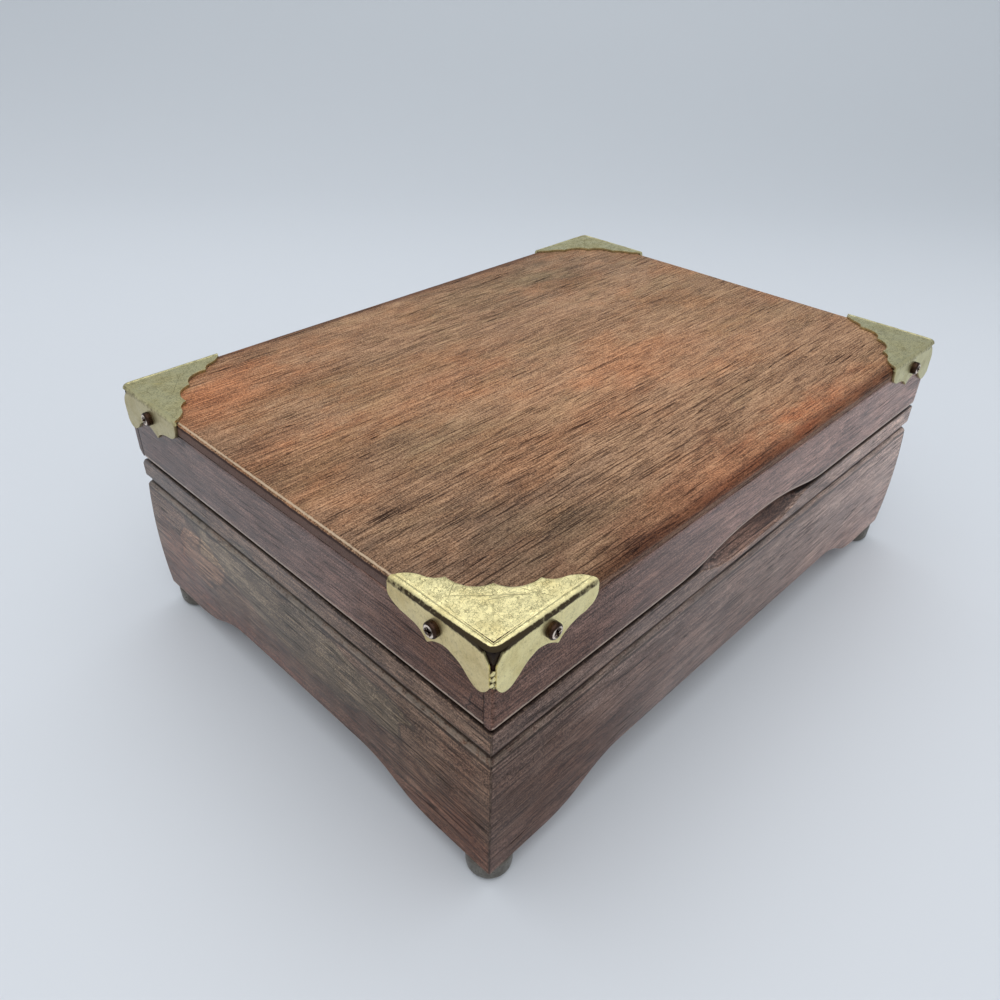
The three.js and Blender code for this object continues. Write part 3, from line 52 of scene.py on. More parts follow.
# Whole box
HALF_LENGTH = 101.5
HALF_DEPTH = 74.0
BOX_TOP = 78.0
LID_BOTTOM = 55.8
RIM_TOP = 54.6
LID_RAIL_TOP = 74.0
BODY_TOP = 45.0
GROOVE_LOW = 46.2
BAND_BOTTOM = 47.8
SIDE_FOOT = 6.0
WALL = 10.0
FLOOR_TOP = 20.5
FLOOR_LOW = 17.5
SCOOP_DEPTH = 4.1
SCOOP_WIDTH = 6.2
MITRE_REACH = 12.0
MITRE_GAP = 0.01
FLOOR_GROOVE = 4.0
LAP_TONGUE = 2.4
PANEL_END_RADIUS = 1.9
LID_OPENING_DEGREES = 100.0
CAP_SCREW_INSET = 15.5
CAP_SCREW_DROP = 3.8
FOOT_INSET = 5.7

# Corners of the box: name, side along X and along Y, quarter turns from the first one, turn of its screws
CORNERS = [
    ("front_left", -1, -1, 0, 0.3),
    ("front_right", 1, -1, 1, 1.1),
    ("back_right", 1, 1, 2, 0.8),
    ("back_left", -1, 1, 3, 0.1),
]

# Camera that took the photograph, solved from the box's own edges
CAMERA_PLACE = (-183.82, -153.88, 190.49)
CAMERA_TURN_DEGREES = -46.161
CAMERA_DOWN_DEGREES = 34.399
CAMERA_ROLL_DEGREES = 1.278
CAMERA_FOCUS_PIXELS = 856.8
PHOTO_PIXELS = 1000.0
SENSOR_WIDTH = 36.0


# Meshes


def smooth_step(value, low, high):
    """0 below low, 1 above high and an S curve between: 3 t^2 - 2 t^3."""
    t = np.clip((value - low) / (high - low), 0.0, 1.0)
    return t * t * (3.0 - 2.0 * t)


def arc(middle_x, middle_y, radius, start_degrees, end_degrees, count):
    """Points at equal angles on a circle, as two columns."""
    angle = np.radians(np.linspace(start_degrees, end_degrees, count))
    return np.stack([middle_x + radius * np.cos(angle), middle_y + radius * np.sin(angle)], -1)


def quadratic(start, swing, end, count):
    """Curve (1-t)^2 start + 2 t (1-t) swing + t^2 end, as rows of points."""
    t = np.linspace(0.0, 1.0, count)[:, None]
    return (1 - t) ** 2 * np.array(start) + 2 * t * (1 - t) * np.array(swing) + t**2 * np.array(end)


def cubic(start, first, second, end, count):
    """Curve with two swing points: the four cubic weights times the four points."""
    t = np.linspace(0.0, 1.0, count)[:, None]
    weights = [(1 - t) ** 3, 3 * t * (1 - t) ** 2, 3 * t**2 * (1 - t), t**3]
    return sum(w * np.array(p) for w, p in zip(weights, (start, first, second, end)))


def chain(*curves):
    """Curves end to end, with the point that two neighbours share kept once."""
    return np.concatenate([curves[0]] + [c[1:] for c in curves[1:]])


def waves(points, seed, longest, count=9):
    """Gentle unevenness from -1 to 1: a sum of sine waves that run through space in fixed directions."""
    draw = np.random.default_rng(seed)
    total = np.zeros(points.shape[:-1])
    for index in range(count):
        direction = draw.normal(size=3)
        direction /= np.linalg.norm(direction)
        length = longest / (1.0 + 0.55 * index)
        phase = draw.uniform(0, 2 * math.pi)
        total += np.sin(points @ direction * (2 * math.pi / length) + phase) / (1.0 + 0.5 * index)
    return total / 2.2


def grid_faces(rows, columns, close_rows=False, close_columns=False):
    """Four-cornered faces of a grid of points that are numbered row by row."""
    r = np.arange(rows if close_rows else rows - 1)
    c = np.arange(columns if close_columns else columns - 1)
    a, b = np.meshgrid(r, c, indexing="ij")
    a_next, b_next = (a + 1) % rows, (b + 1) % columns
    corners = [a * columns + b, a_next * columns + b, a_next * columns + b_next, a * columns + b_next]
    return np.stack(corners, -1).reshape(-1, 4).tolist()


def surface(points, close_rows=False, close_columns=False):
    """A grid of points, rows by columns by three, as a part that make_piece takes."""
    rows, columns = points.shape[:2]
    return points.reshape(-1, 3), grid_faces(rows, columns, close_rows, close_columns)


def closed_sweep(points):
    """Stations by section points by three: a closed section carried along, with both ends filled."""
    stations, count = points.shape[:2]
    faces = grid_faces(stations, count, close_columns=True)
    faces.append(list(range(count)))
    last = (stations - 1) * count
    faces.append([last + k for k in range(count)])
    return points.reshape(-1, 3), faces


def make_mesh(name, parts, crease, tag=None):
    """Joins parts, merges shared points, turns faces outwards and marks edges sharper than crease degrees."""
    points, faces, tags, start = [], [], [], 0
    for index, (part_points, part_faces) in enumerate(parts):
        points.append(part_points)
        faces += [[start + k for k in face] for face in part_faces]
        start += len(part_points)
        if tag is not None:
            tags.append(tag[index].reshape(-1))
    mesh = bpy.data.meshes.new(name)
    mesh.from_pydata((np.concatenate(points) * MM).tolist(), [], faces)
    if tag is not None:
        wear = mesh.attributes.new("wear", "FLOAT", "POINT")
        wear.data.foreach_set("value", np.concatenate(tags).astype(np.float32))
    work = bmesh.new()
    work.from_mesh(mesh)
    bmesh.ops.remove_doubles(work, verts=work.verts, dist=JOIN_DISTANCE)
    bmesh.ops.dissolve_degenerate(work, dist=JOIN_DISTANCE, edges=work.edges)
    bmesh.ops.recalc_face_normals(work, faces=work.faces)
    work.to_mesh(mesh)
    work.free()
    mesh.polygons.foreach_set("use_smooth", np.ones(len(mesh.polygons), bool))
    mesh.set_sharp_from_angle(angle=math.radians(crease))
    return mesh


def make_piece(name, parts, material, body, stands_for=(), crease=38.0, tag=None):
    """One finished piece at the origin, riding on its body and standing for the nodes that it replaces."""
    piece = bpy.data.objects.new(name, make_mesh(name, parts, crease, tag))
    bpy.context.scene.collection.objects.link(piece)
    piece.data.materials.append(material)
    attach(piece, body)
    if stands_for:
        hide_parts(*stands_for)
    return piece


def in_millimetres(box):
    """Low and high corner of a node's box."""
    return np.array(box[0]) / MM, np.array(box[1]) / MM


class Section:
    """Section of a board, point by point: how far each point stands out from the face plane, its height and
    its wear, each one value or one for each station along the board."""

    def __init__(self, stations):
        self.blank = 0 * stations
        self.rows = []

    def put(self, out, height, wear=0.0):
        self.rows.append([out + self.blank, height + self.blank, wear + self.blank])

    def grids(self):
        """Out, height and wear as grids of stations by section points."""
        return np.array(self.rows).transpose(1, 2, 0)


def lathe(profile, segments):
    """Radius and height pairs turned about Z, as a grid of stations by profile points."""
    angle = np.linspace(0, 2 * math.pi, segments, endpoint=False)[:, None]
    radius, height = profile[:, 0][None], profile[:, 1][None]
    return np.stack([radius * np.cos(angle), radius * np.sin(angle), height + 0 * angle], -1)


def quarter_turned(points, quarters):
    """Points turned about Z by a number of quarter turns, exactly."""
    x, y, z = points[..., 0], points[..., 1], points[..., 2]
    x, y = [(x, y), (-y, x), (-x, -y), (y, -x)][quarters % 4]
    return np.stack([x, y, z], -1)


# Shader nodes


class Tree:
    """Short names for adding and linking shader nodes. All methods but add and put give a node's output."""

    def __init__(self, tree):
        self.tree = tree

    def add(self, kind, **settings):
        """A new node of a kind, with some of its settings."""
        node = self.tree.nodes.new(kind)
        for key, value in settings.items():
            setattr(node, key, value)
        return node

    def put(self, socket, value):
        """Links an output to a socket or sets the socket to a number; None leaves it alone."""
        if isinstance(value, bpy.types.NodeSocket):
            self.tree.links.new(value, socket)
        elif value is not None:
            socket.default_value = value

    def math(self, operation, a, b=None):
        node = self.add("ShaderNodeMath", operation=operation)
        self.put(node.inputs[0], a)
        self.put(node.inputs[1], b)
        return node.outputs[0]

    def chained(self, operation, values):
        """The operation between the first two values, then between its result and each further value."""
        total = values[0]
        for value in values[1:]:
            total = self.math(operation, total, value)
        return total

    def times(self, *values):
        return self.chained("MULTIPLY", values)

    def plus(self, *values):
        return self.chained("ADD", values)

    def most(self, *values):
        return self.chained("MAXIMUM", values)

    def minus(self, a, b):
        return self.math("SUBTRACT", a, b)

    def unsigned(self, value):
        return self.math("ABSOLUTE", value)

    def centred(self, noise, reach):
        """A noise moved to swing about 0: (noise - 0.5) times reach."""
        return self.times(self.minus(noise, 0.5), reach)

    def mix(self, factor, a, b, blend="MIX"):
        node = self.add("ShaderNodeMix", data_type="RGBA", blend_type=blend)
        self.put(node.inputs[0], factor)
        self.put(node.inputs[6], a)
        self.put(node.inputs[7], b)
        return node.outputs[2]

    def tint(self, factor, colour, tint):
        """A colour times three numbers, one for each channel, as far as the factor says."""
        return self.mix(factor, colour, (*tint, 1.0), "MULTIPLY")

    def between(self, value, from_low, from_high, to_low=0.0, to_high=1.0, kind="SMOOTHSTEP"):
        node = self.add("ShaderNodeMapRange", interpolation_type=kind)
        for socket, number in zip(node.inputs, (value, from_low, from_high, to_low, to_high)):
            self.put(socket, number)
        return node.outputs[0]

    def band(self, value, starts, full, ends, none):
        """1 from full to ends, and a soft step down to 0 at starts on one side and at none on the other."""
        return self.times(self.between(value, starts, full), self.between(value, none, ends))

    def noise(self, vector, scale=1.0, detail=3.0, roughness=0.55, distortion=0.0):
        node = self.add("ShaderNodeTexNoise")
        self.put(node.inputs["Vector"], vector)
        node.inputs["Scale"].default_value = scale
        node.inputs["Detail"].default_value = detail
        node.inputs["Roughness"].default_value = roughness
        node.inputs["Distortion"].default_value = distortion
        return node.outputs["Fac"]

    def cell_borders(self, vector, scale=1.0):
        """Distance to the nearest border between irregular cells."""
        node = self.add("ShaderNodeTexVoronoi", feature="DISTANCE_TO_EDGE")
        self.put(node.inputs["Vector"], vector)
        self.put(node.inputs["Scale"], scale)
        return node.outputs["Distance"]

    def stretch(self, vector, scale, move=(0, 0, 0), turn=(0, 0, 0)):
        node = self.add("ShaderNodeMapping")
        self.put(node.inputs["Vector"], vector)
        node.inputs["Scale"].default_value = scale
        node.inputs["Location"].default_value = move
        node.inputs["Rotation"].default_value = turn
        return node.outputs[0]

    def vector(self, operation, a, b=None):
        node = self.add("ShaderNodeVectorMath", operation=operation)
        self.put(node.inputs[0], a)
        self.put(node.inputs[1], b)
        return node.outputs["Value" if operation == "LENGTH" else "Vector"]

    def from_axes(self, x, y, z):
        node = self.add("ShaderNodeCombineXYZ")
        for socket, value in zip(node.inputs, (x, y, z)):
            self.put(socket, value)
        return node.outputs[0]

    def axis(self, place, number):
        node = self.add("ShaderNodeSeparateXYZ")
        self.put(node.inputs[0], place)
        return node.outputs[number]

    def grey(self, value):
        """A single number as a grey colour."""
        node = self.add("ShaderNodeCombineColor")
        for socket in node.inputs[:3]:
            self.put(socket, value)
        return node.outputs[0]

    def wear(self):
        """The wear that make_mesh stored on the points of a piece."""
        node = self.add("ShaderNodeAttribute", attribute_name="wear", attribute_type="GEOMETRY")
        return node.outputs["Fac"]

    def bump(self, height, strength, distance):
        node = self.add("ShaderNodeBump")
        self.put(node.inputs["Height"], height)
        node.inputs["Strength"].default_value = strength
        node.inputs["Distance"].default_value = distance
        return node.outputs[0]


def new_group(name, inputs, outputs):
    """An empty shader group with named sockets; gives the group, its tree, its inputs and its outputs."""
    group = bpy.data.node_groups.new(name, "ShaderNodeTree")
    kinds = {"value": "NodeSocketFloat", "colour": "NodeSocketColor", "vector": "NodeSocketVector"}
    for label, kind in inputs:
        group.interface.new_socket(label, in_out="INPUT", socket_type=kinds[kind])
    for label, kind in outputs:
        group.interface.new_socket(label, in_out="OUTPUT", socket_type=kinds[kind])
    tree = Tree(group)
    entry = tree.add("NodeGroupInput")
    leave = tree.add("NodeGroupOutput")
    return group, tree, entry.outputs, leave.inputs


def place_group(tree, group, **values):
    """Puts a group into a tree, with values or links for its inputs, underscores standing for spaces."""
    node = tree.add("ShaderNodeGroup", node_tree=group)
    for label, value in values.items():
        tree.put(node.inputs[label.replace("_", " ")], value)
    return node.outputs


def new_material(name):
    """A material with a Principled shader; returns the material, its tree and the shader's inputs."""
    material = bpy.data.materials.new(name)
    material.use_nodes = True
    material.node_tree.nodes.clear()
    tree = Tree(material.node_tree)
    shader = tree.add("ShaderNodeBsdfPrincipled")
    out = tree.add("ShaderNodeOutputMaterial")
    material.node_tree.links.new(shader.outputs[0], out.inputs[0])
    return material, tree, shader.inputs


def object_millimetres(tree, turn=(0, 0, 0), move=(0, 0, 0)):
    """Object coordinates in millimetres, turned so that the grain runs along X."""
    place = tree.add("ShaderNodeTexCoord").outputs["Object"]
    return tree.stretch(place, (1000, 1000, 1000), move, turn)


def linear(red, green, blue):
    """A colour as the eye sees it on screen, turned into the linear values that the shaders take."""
    scale = [c / 255 for c in (red, green, blue)]
    return tuple(c / 12.92 if c <= 0.04045 else ((c + 0.055) / 1.055) ** 2.4 for c in scale) + (1.0,)


# Wood


def make_grain_group():
    """Straight-grained wood: tone clouds, faint streaks, fine fibres, short dark pores and resin lines."""
    group, t, inside, out = new_group(
        "straight_grain",
        [("Place", "vector"), ("Light", "colour"), ("Body", "colour"), ("Dark", "colour"),
         ("Streak Share", "value"), ("Pore Share", "value"), ("Line Share", "value")],
        [("Colour", "colour"), ("Height", "value"), ("Gloss Loss", "value")],
    )
    place = inside["Place"]
    shift = t.centred(t.noise(t.stretch(place, (0.006, 0.022, 0.022)), 1.0, 2.0), 4.0)
    run = t.vector("ADD", place, t.from_axes(None, shift, shift))
    clouds = t.noise(t.stretch(run, (0.03, 0.08, 0.08)), 1.0, 5.0, 0.6)
    streaks = t.noise(t.stretch(run, (0.022, 0.5, 0.5)), 1.0, 5.0, 0.68)
    fibres = t.noise(t.stretch(run, (0.1, 2.3, 2.3)), 1.0, 3.0, 0.7)
    specks = t.noise(place, 2.6, 3.0, 0.75)
    tone = t.plus(t.times(clouds, 0.2), t.times(fibres, 0.6), t.times(specks, 0.8))
    tone = t.minus(t.plus(tone, t.centred(streaks, inside["Streak Share"])), 0.3)
    colour = t.mix(t.between(tone, 0.36, 0.5, kind="LINEAR"), inside["Dark"], inside["Body"])
    colour = t.mix(t.between(tone, 0.5, 0.65, kind="LINEAR"), colour, inside["Light"])

    pores = t.noise(t.stretch(run, (0.085, 2.5, 2.5)), 1.0, 2.0, 0.5)
    thick = t.noise(t.stretch(place, (0.02, 0.05, 0.05), (3, 41, 0)), 1.0, 2.0)
    more = t.times(t.minus(inside["Pore Share"], 1.0), 0.06)
    level = t.plus(t.between(thick, 0.35, 0.7, 0.36, 0.41, "LINEAR"), more)
    pore = t.between(pores, level, t.minus(level, 0.06))

    line = t.noise(t.stretch(run, (0.011, 0.42, 0.42), (71, 3, 0)), 1.0, 2.0, 0.5)
    line_gate = t.noise(t.stretch(place, (0.02, 0.12, 0.12), (7, 9, 2)), 1.0, 2.0)
    line = t.times(t.between(t.unsigned(t.minus(line, 0.5)), 0.012, 0.002), t.between(line_gate, 0.5, 0.62))
    dark = t.most(t.times(pore, 0.78), t.times(line, inside["Line Share"], 0.75))
    colour = t.mix(dark, colour, t.tint(1.0, inside["Dark"], (0.42, 0.32, 0.25)))
    t.put(out["Colour"], colour)
    t.put(out["Height"], t.minus(t.plus(t.times(fibres, 0.6), t.times(specks, 0.35)), dark))
    t.put(out["Gloss Loss"], t.plus(t.times(dark, 0.25), t.times(fibres, 0.1)))
    return group


def make_wear_group():
    """Rubbed arrises: the stored wear of a piece, broken up by noise, shows paler wood."""
    group, t, inside, out = new_group(
        "rubbed_edges",
        [("Place", "vector"), ("Colour", "colour"), ("Bare", "colour"), ("Share", "value")],
        [("Colour", "colour")],
    )
    speckle = t.noise(inside["Place"], 0.9, 4.0, 0.65)
    mask = t.times(t.between(t.plus(t.wear(), t.centred(speckle, 0.9)), 0.45, 0.8), inside["Share"])
    t.put(out["Colour"], t.mix(mask, inside["Colour"], inside["Bare"]))
    return group


def make_patch_group():
    """A soft-edged patch: distance from its middle in shares of its size, frayed by noise."""
    inputs = [("Offset", "vector"), ("Place", "vector")]
    group, t, inside, out = new_group("soft_patch", inputs, [("Mask", "value")])
    fray = t.noise(t.stretch(inside["Place"], (0.06, 0.14, 0.14)), 1.0, 6.0, 0.72)
    distance = t.plus(t.vector("LENGTH", inside["Offset"]), t.centred(fray, 2.6))
    t.put(out["Mask"], t.between(distance, 1.2, 0.0))
    return group


GRAIN = make_grain_group()
RUBBED = make_wear_group()
SOFT_PATCH = make_patch_group()
ALONG_X = (0.0, 0.0, 0.0)
ALONG_Y = (0.0, 0.0, math.pi / 2)


def place_grain(t, place, tones, streaks, pores, lines):
    """The grain group with its light, body and dark tone and the shares of streaks, pores and resin lines."""
    light, body, dark = (linear(*tone) for tone in tones)
    return place_group(t, GRAIN, Place=place, Light=light, Body=body, Dark=dark, Streak_Share=streaks,
                       Pore_Share=pores, Line_Share=lines)


def in_patch(t, place, middle, size):
    """Mask of a soft patch with a middle and a size along each axis in millimetres."""
    share = tuple(1.0 / s for s in size)
    offset = t.stretch(place, share, tuple(-m / s for m, s in zip(middle, size)))
    return place_group(t, SOFT_PATCH, Offset=offset, Place=place)["Mask"]


def stain(t, place, colour, patches):
    """Tints a colour in soft patches, each a middle, a size, a factor for each channel and a strength. Some
    patches are stains, others painted shade and painted sheen, as their tables say.
    """
    for middle, size, tint, strength in patches:
        colour = t.tint(t.times(in_patch(t, place, middle, size), strength), colour, tint)
    return colour


def painted_far_end_sheen(t, raw, colour, factor):
    """Painted sheen: front faces grow evenly paler towards the far corner, up to the factor, standing in for
    the grazing reflection there.
    """
    share = t.times(t.between(t.axis(raw, 0), 5.0, 98.0), t.between(t.axis(raw, 1), -60.0, -71.0))
    return t.tint(share, colour, factor)


def streaked_tint(t, place, colour, scale, move, start, strength, tint):
    """Tints the streaky patches where a stretched noise is above start."""
    mask = t.between(t.noise(t.stretch(place, scale, move), 1.0, 6.0, 0.66), start - 0.04, start + 0.16)
    return t.tint(t.times(mask, strength), colour, tint)


def figure(t, place, colour, patches):
    """Figured patches with a crisp, wandering border: each is a middle, a size, a tilt, a tint, a strength
    and the darkness of the line that rings it, which a fainter line follows inside."""
    wander = t.noise(t.stretch(place, (0.07, 0.04, 0.09), (3, 11, 5)), 1.0, 4.0, 0.52)
    for middle, size, tilt, tint, strength, ring in patches:
        turned = t.stretch(place, (1, 1, 1), turn=(tilt, 0, 0))
        c, s = math.cos(tilt), math.sin(tilt)
        x, y, z = middle[0], c * middle[1] - s * middle[2], s * middle[1] + c * middle[2]
        share = tuple(1.0 / v for v in size)
        offset = t.stretch(turned, share, (-x / size[0], -y / size[1], -z / size[2]))
        distance = t.plus(t.vector("LENGTH", offset), t.centred(wander, 2.4))
        colour = t.tint(t.times(t.between(distance, 1.1, 0.85), strength), colour, tint)
        line = t.between(t.unsigned(t.minus(distance, 1.02)), 0.1, 0.02, 0.0, ring)
        colour = t.mix(line, colour, linear(56, 45, 38))
        echo = t.between(t.unsigned(t.minus(distance, 0.8)), 0.08, 0.0, 0.0, ring * 0.45)
        colour = t.mix(echo, colour, linear(60, 48, 42))
    return colour


def from_middle(t, place):
    """Distances from the box's middle along its length and along its depth."""
    return t.unsigned(t.axis(place, 0)), t.unsigned(t.axis(place, 1))


def outer_skin(t, across, deep, start, full):
    """Mask of the outer faces: 0 deeper than start below them and 1 from full outwards, in millimetres."""
    return t.most(t.between(across, HALF_LENGTH - start, HALF_LENGTH - full),
                  t.between(deep, HALF_DEPTH - start, HALF_DEPTH - full))


def near_corner_fade(t, raw):
    """1 over most of the box, down to a quarter beside the much handled near corner."""
    return t.between(t.plus(t.axis(raw, 0), t.axis(raw, 1)), -160.0, -100.0, 0.25, 1.0)


def finish_wood(t, shader, place, colour, grain, rough, bare, wear_share, bump, gloss, coat=0.0):
    """Rubbed arrises, roughness clouds, fibre bump and a thin satin coat."""
    rubbed = place_group(t, RUBBED, Place=place, Colour=colour, Bare=bare, Share=wear_share)
    clouds = t.noise(place, 0.035, 3.0, 0.6)
    roughness = t.plus(t.between(clouds, 0.3, 0.7, rough - 0.06, rough + 0.06, "LINEAR"), grain["Gloss Loss"])
    t.put(shader["Base Color"], rubbed["Colour"])
    t.put(shader["Roughness"], roughness)
    t.put(shader["Normal"], t.bump(grain["Height"], bump, 0.00016))
    t.put(shader["Specular IOR Level"], gloss)
    t.put(shader["Coat Weight"], coat)
    shader["Coat Roughness"].default_value = 0.3


TOP_TONES = (206, 165, 129), (155, 118, 88), (84, 57, 40)
ORANGE, RED, GREY, PAINTED_SHADE = (1.12, 0.85, 0.7), (1.1, 0.83, 0.7), (0.78, 0.86, 0.82), (0.5, 0.52, 0.57)
# Patches on the lid top: those tinted (0.5, 0.52, 0.57) at the near corner, along the left end and along the
# back edge, and the cool darkening at the back right, are painted shade; the even 1.2 brightening over the
# middle is a painted sheen.
TOP_PATCHES = [
    ((-82, 50, 78), (34, 24, 30), ORANGE, 0.85),
    ((-86, 5, 78), (30, 22, 30), ORANGE, 0.45),
    ((-38, 14, 78), (46, 18, 30), ORANGE, 0.45),
    ((-18, -70, 78), (75, 12, 30), RED, 0.8),
    ((52, -69, 78), (52, 9, 30), RED, 0.55),
    ((66, 50, 78), (50, 28, 30), (0.8, 0.86, 0.92), 0.7),
    ((20, -20, 78), (80, 20, 30), ORANGE, 0.35),
    ((-62, -3, 78), (34, 14, 30), GREY, 0.6),
    ((28, 55, 78), (70, 18, 30), GREY, 0.7),
    ((-48, 30, 78), (50, 14, 30), GREY, 0.6),
    ((75, 5, 78), (46, 26, 30), GREY, 0.5),
    ((-86, -58, 78), (70, 38, 40), PAINTED_SHADE, 0.85),
    ((-60, -10, 78), (50, 26, 30), (0.8, 0.82, 0.84), 0.7),
    ((5, -8, 78), (75, 40, 30), (1.2, 1.2, 1.2), 0.9),
    ((-101, 0, 78), (10, 90, 30), PAINTED_SHADE, 0.35),
    ((40, 74, 78), (90, 14, 30), PAINTED_SHADE, 0.35),
]


def top_wood():
    """Lid board: tan wood with orange staining left along the front edge and at the corners, worn grey
    patches, patches of painted shade and a painted sheen, painted shade over the turn of the front and back
    arris, painted shade on the board's edges with a darker line below the end arris, and painted shadow in
    the corners under the caps."""
    material, t, shader = new_material("lid_top_wood")
    place = object_millimetres(t)
    worn = in_patch(t, place, (-60, -50, 78), (95, 60, 60))
    grain = place_grain(t, place, TOP_TONES, 0.1, t.between(worn, 0.0, 1.0, 0.75, 1.5, "LINEAR"), 1.3)
    colour = grain["Colour"]
    colour = streaked_tint(t, place, colour, (0.03, 0.055, 0.055), (5, 3, 0), 0.5, 0.6, (1.12, 0.92, 0.78))
    colour = streaked_tint(t, place, colour, (0.024, 0.06, 0.06), (40, 13, 0), 0.5, 0.6, (0.84, 0.93, 0.88))
    colour = streaked_tint(t, place, colour, (0.012, 0.13, 0.13), (9, 57, 0), 0.55, 0.5, (0.74, 0.68, 0.62))
    colour = stain(t, place, colour, TOP_PATCHES)

    across, deep = from_middle(t, place)
    height = t.plus(t.axis(place, 2), t.times(t.noise(place, 0.5, 3.0), 0.35))
    at_end = t.between(across, HALF_LENGTH - 2.2, HALF_LENGTH - 1.6)
    # Painted shade over the turn of the front and back arris.
    turned = t.between(deep, HALF_DEPTH - 4.2, HALF_DEPTH - 1.0)
    colour = t.tint(t.times(turned, 0.9), colour, (0.44, 0.33, 0.29))
    # Painted shade on the board's edges below the arris, with a darker painted shade line below the end
    # arris.
    end_edge = t.times(t.between(height, BOX_TOP - 0.65, BOX_TOP - 0.8), at_end)
    edge = t.most(end_edge, t.between(height, BOX_TOP - 1.6, BOX_TOP - 2.0))
    side = t.mix(at_end, t.tint(1.0, grain["Colour"], (0.52, 0.5, 0.56)), linear(94, 72, 65))
    colour = t.mix(t.times(edge, 0.9), colour, side)
    line = t.times(edge, at_end, t.between(height, BOX_TOP - 1.4, BOX_TOP - 1.1))
    colour = t.mix(t.times(line, 0.85), colour, linear(46, 31, 27))
    # Painted shadow in the panel's corners, under the openings of the caps.
    corner = t.times(t.between(across, HALF_LENGTH - 2.9, HALF_LENGTH - 2.1),
                     t.between(deep, HALF_DEPTH - 2.9, HALF_DEPTH - 2.1))
    colour = t.mix(t.times(corner, 0.95), colour, linear(30, 20, 16))
    finish_wood(t, shader, place, colour, grain, 0.5, linear(196, 172, 144), t.minus(1.0, corner), 0.9, 0.18)
    return material


# Patches for the lid and case sides: the darkening beside the near corner is painted shade, the brightening
# along the front towards the far end is a painted sheen, and the last darkens the lid beside the back left
# corner.
NEAR_AND_FAR = [
    ((-101, -74, 45), (70, 70, 60), (0.92, 0.89, 0.86), 0.85),
    ((35, -74, 45), (90, 40, 60), (1.2, 1.17, 1.15), 0.9),
    ((-101, 60, 62), (30, 60, 22), (0.5, 0.44, 0.43), 0.8),
]
RAIL_TONES = (160, 127, 114), (105, 80, 71), (46, 31, 27)
# The first patch, darker on the left lid side by the near corner, is painted shade; the second, paler along
# the front, is a painted sheen.
RAIL_PATCHES = [
    ((-102, -56, 64), (20, 30, 16), (0.72, 0.6, 0.5), 1.0),
    ((0, -75, 66), (50, 20, 20), (1.5, 1.5, 1.5), 0.8),
]


def torn_grain(t, raw, height, colour):
    """Torn grain low on the left lid side beside the lap joint: a darker field with a dark, ragged edge that
    leans towards the joint with height."""
    ragged = t.noise(t.stretch(raw, (0, 0.05, 0.4), (5, 0, 0)), 1.0, 4.0, 0.65)
    lean = t.plus(t.centred(ragged, 5.0), t.times(t.minus(height, 59), 0.4))
    torn = t.plus(t.plus(t.axis(raw, 1), 67.0), lean)
    reach = t.times(t.between(height, 63.5, 62.0), t.between(t.axis(raw, 0), -100.5, -101.0))
    inside = t.times(t.between(torn, 0.1, -0.3), t.between(t.axis(raw, 1), -71.8, -71.4))
    colour = t.tint(t.times(inside, reach, 0.55), colour, (0.72, 0.68, 0.64))
    edge = t.times(t.between(t.unsigned(torn), 0.32, 0.12), reach)
    return t.mix(t.times(edge, 0.85), colour, linear(40, 30, 27))


def rail_wood(name, along, move):
    """Lid sides: purplish brown satin with faint grain, redder in places, with a torn patch, painted shade
    along the lower edge where the lid meets the case, dark lines at the lap joints, painted shade in the
    corner hollows below the caps, and painted shade at the near corner with a painted sheen towards the far
    end."""
    material, t, shader = new_material(name)
    raw = object_millimetres(t)
    place = object_millimetres(t, along, move)
    height = t.axis(raw, 2)
    across, deep = from_middle(t, raw)
    grain = place_grain(t, place, RAIL_TONES, 0.2, 0.9, 1.0)
    cloud = t.noise(t.stretch(place, (0.02, 0.06, 0.06)), 1.0, 4.0, 0.6)
    colour = t.tint(t.times(t.between(cloud, 0.45, 0.7), 0.45), grain["Colour"], (0.9, 0.76, 0.7))
    colour = t.tint(t.times(t.between(cloud, 0.5, 0.3), 0.6), colour, (1.0, 0.98, 1.08))
    colour = stain(t, raw, colour, NEAR_AND_FAR + RAIL_PATCHES)
    colour = painted_far_end_sheen(t, raw, colour, (1.95, 1.98, 2.02))
    colour = torn_grain(t, raw, height, colour)

    # Painted shade along the lower edge, in the gap where the lid meets the case.
    gap_shade_edge = t.between(height, LID_BOTTOM + 0.15, LID_BOTTOM + 0.05, 0.0, 0.8)
    colour = t.mix(t.times(outer_skin(t, across, deep, 2, 1), gap_shade_edge), colour, linear(30, 22, 20))
    # Painted shade in the corner hollows below the caps.
    hollow = t.times(t.between(across, HALF_LENGTH - 3.9, HALF_LENGTH - 2.9),
                     t.between(deep, HALF_DEPTH - 3.8, HALF_DEPTH - 2.8),
                     t.between(height, BOX_TOP - 9.2, BOX_TOP - 8.2))
    colour = t.mix(t.times(hollow, 0.95), colour, linear(34, 23, 19))
    joint = t.between(t.unsigned(t.minus(deep, HALF_DEPTH - LAP_TONGUE)), 0.3, 0.1)
    joint = t.times(joint, t.between(across, HALF_LENGTH - 0.8, HALF_LENGTH - 0.4))
    colour = t.mix(t.times(joint, 0.8), colour, linear(36, 26, 24))
    open_wood = t.minus(1.0, hollow)
    satin = t.times(near_corner_fade(t, raw), open_wood)
    finish_wood(t, shader, place, colour, grain, 0.36, linear(188, 168, 150), t.times(open_wood, 0.75), 0.6,
                t.times(satin, 0.45), t.times(satin, 0.3))
    return material


RED_STAIN, GREEN_GREY, TAN = (1.0, 0.68, 0.58), (1.12, 1.3, 1.25), (1.75, 1.55, 1.38)
FRONT_TONES = (164, 140, 127), (112, 91, 82), (52, 39, 34)
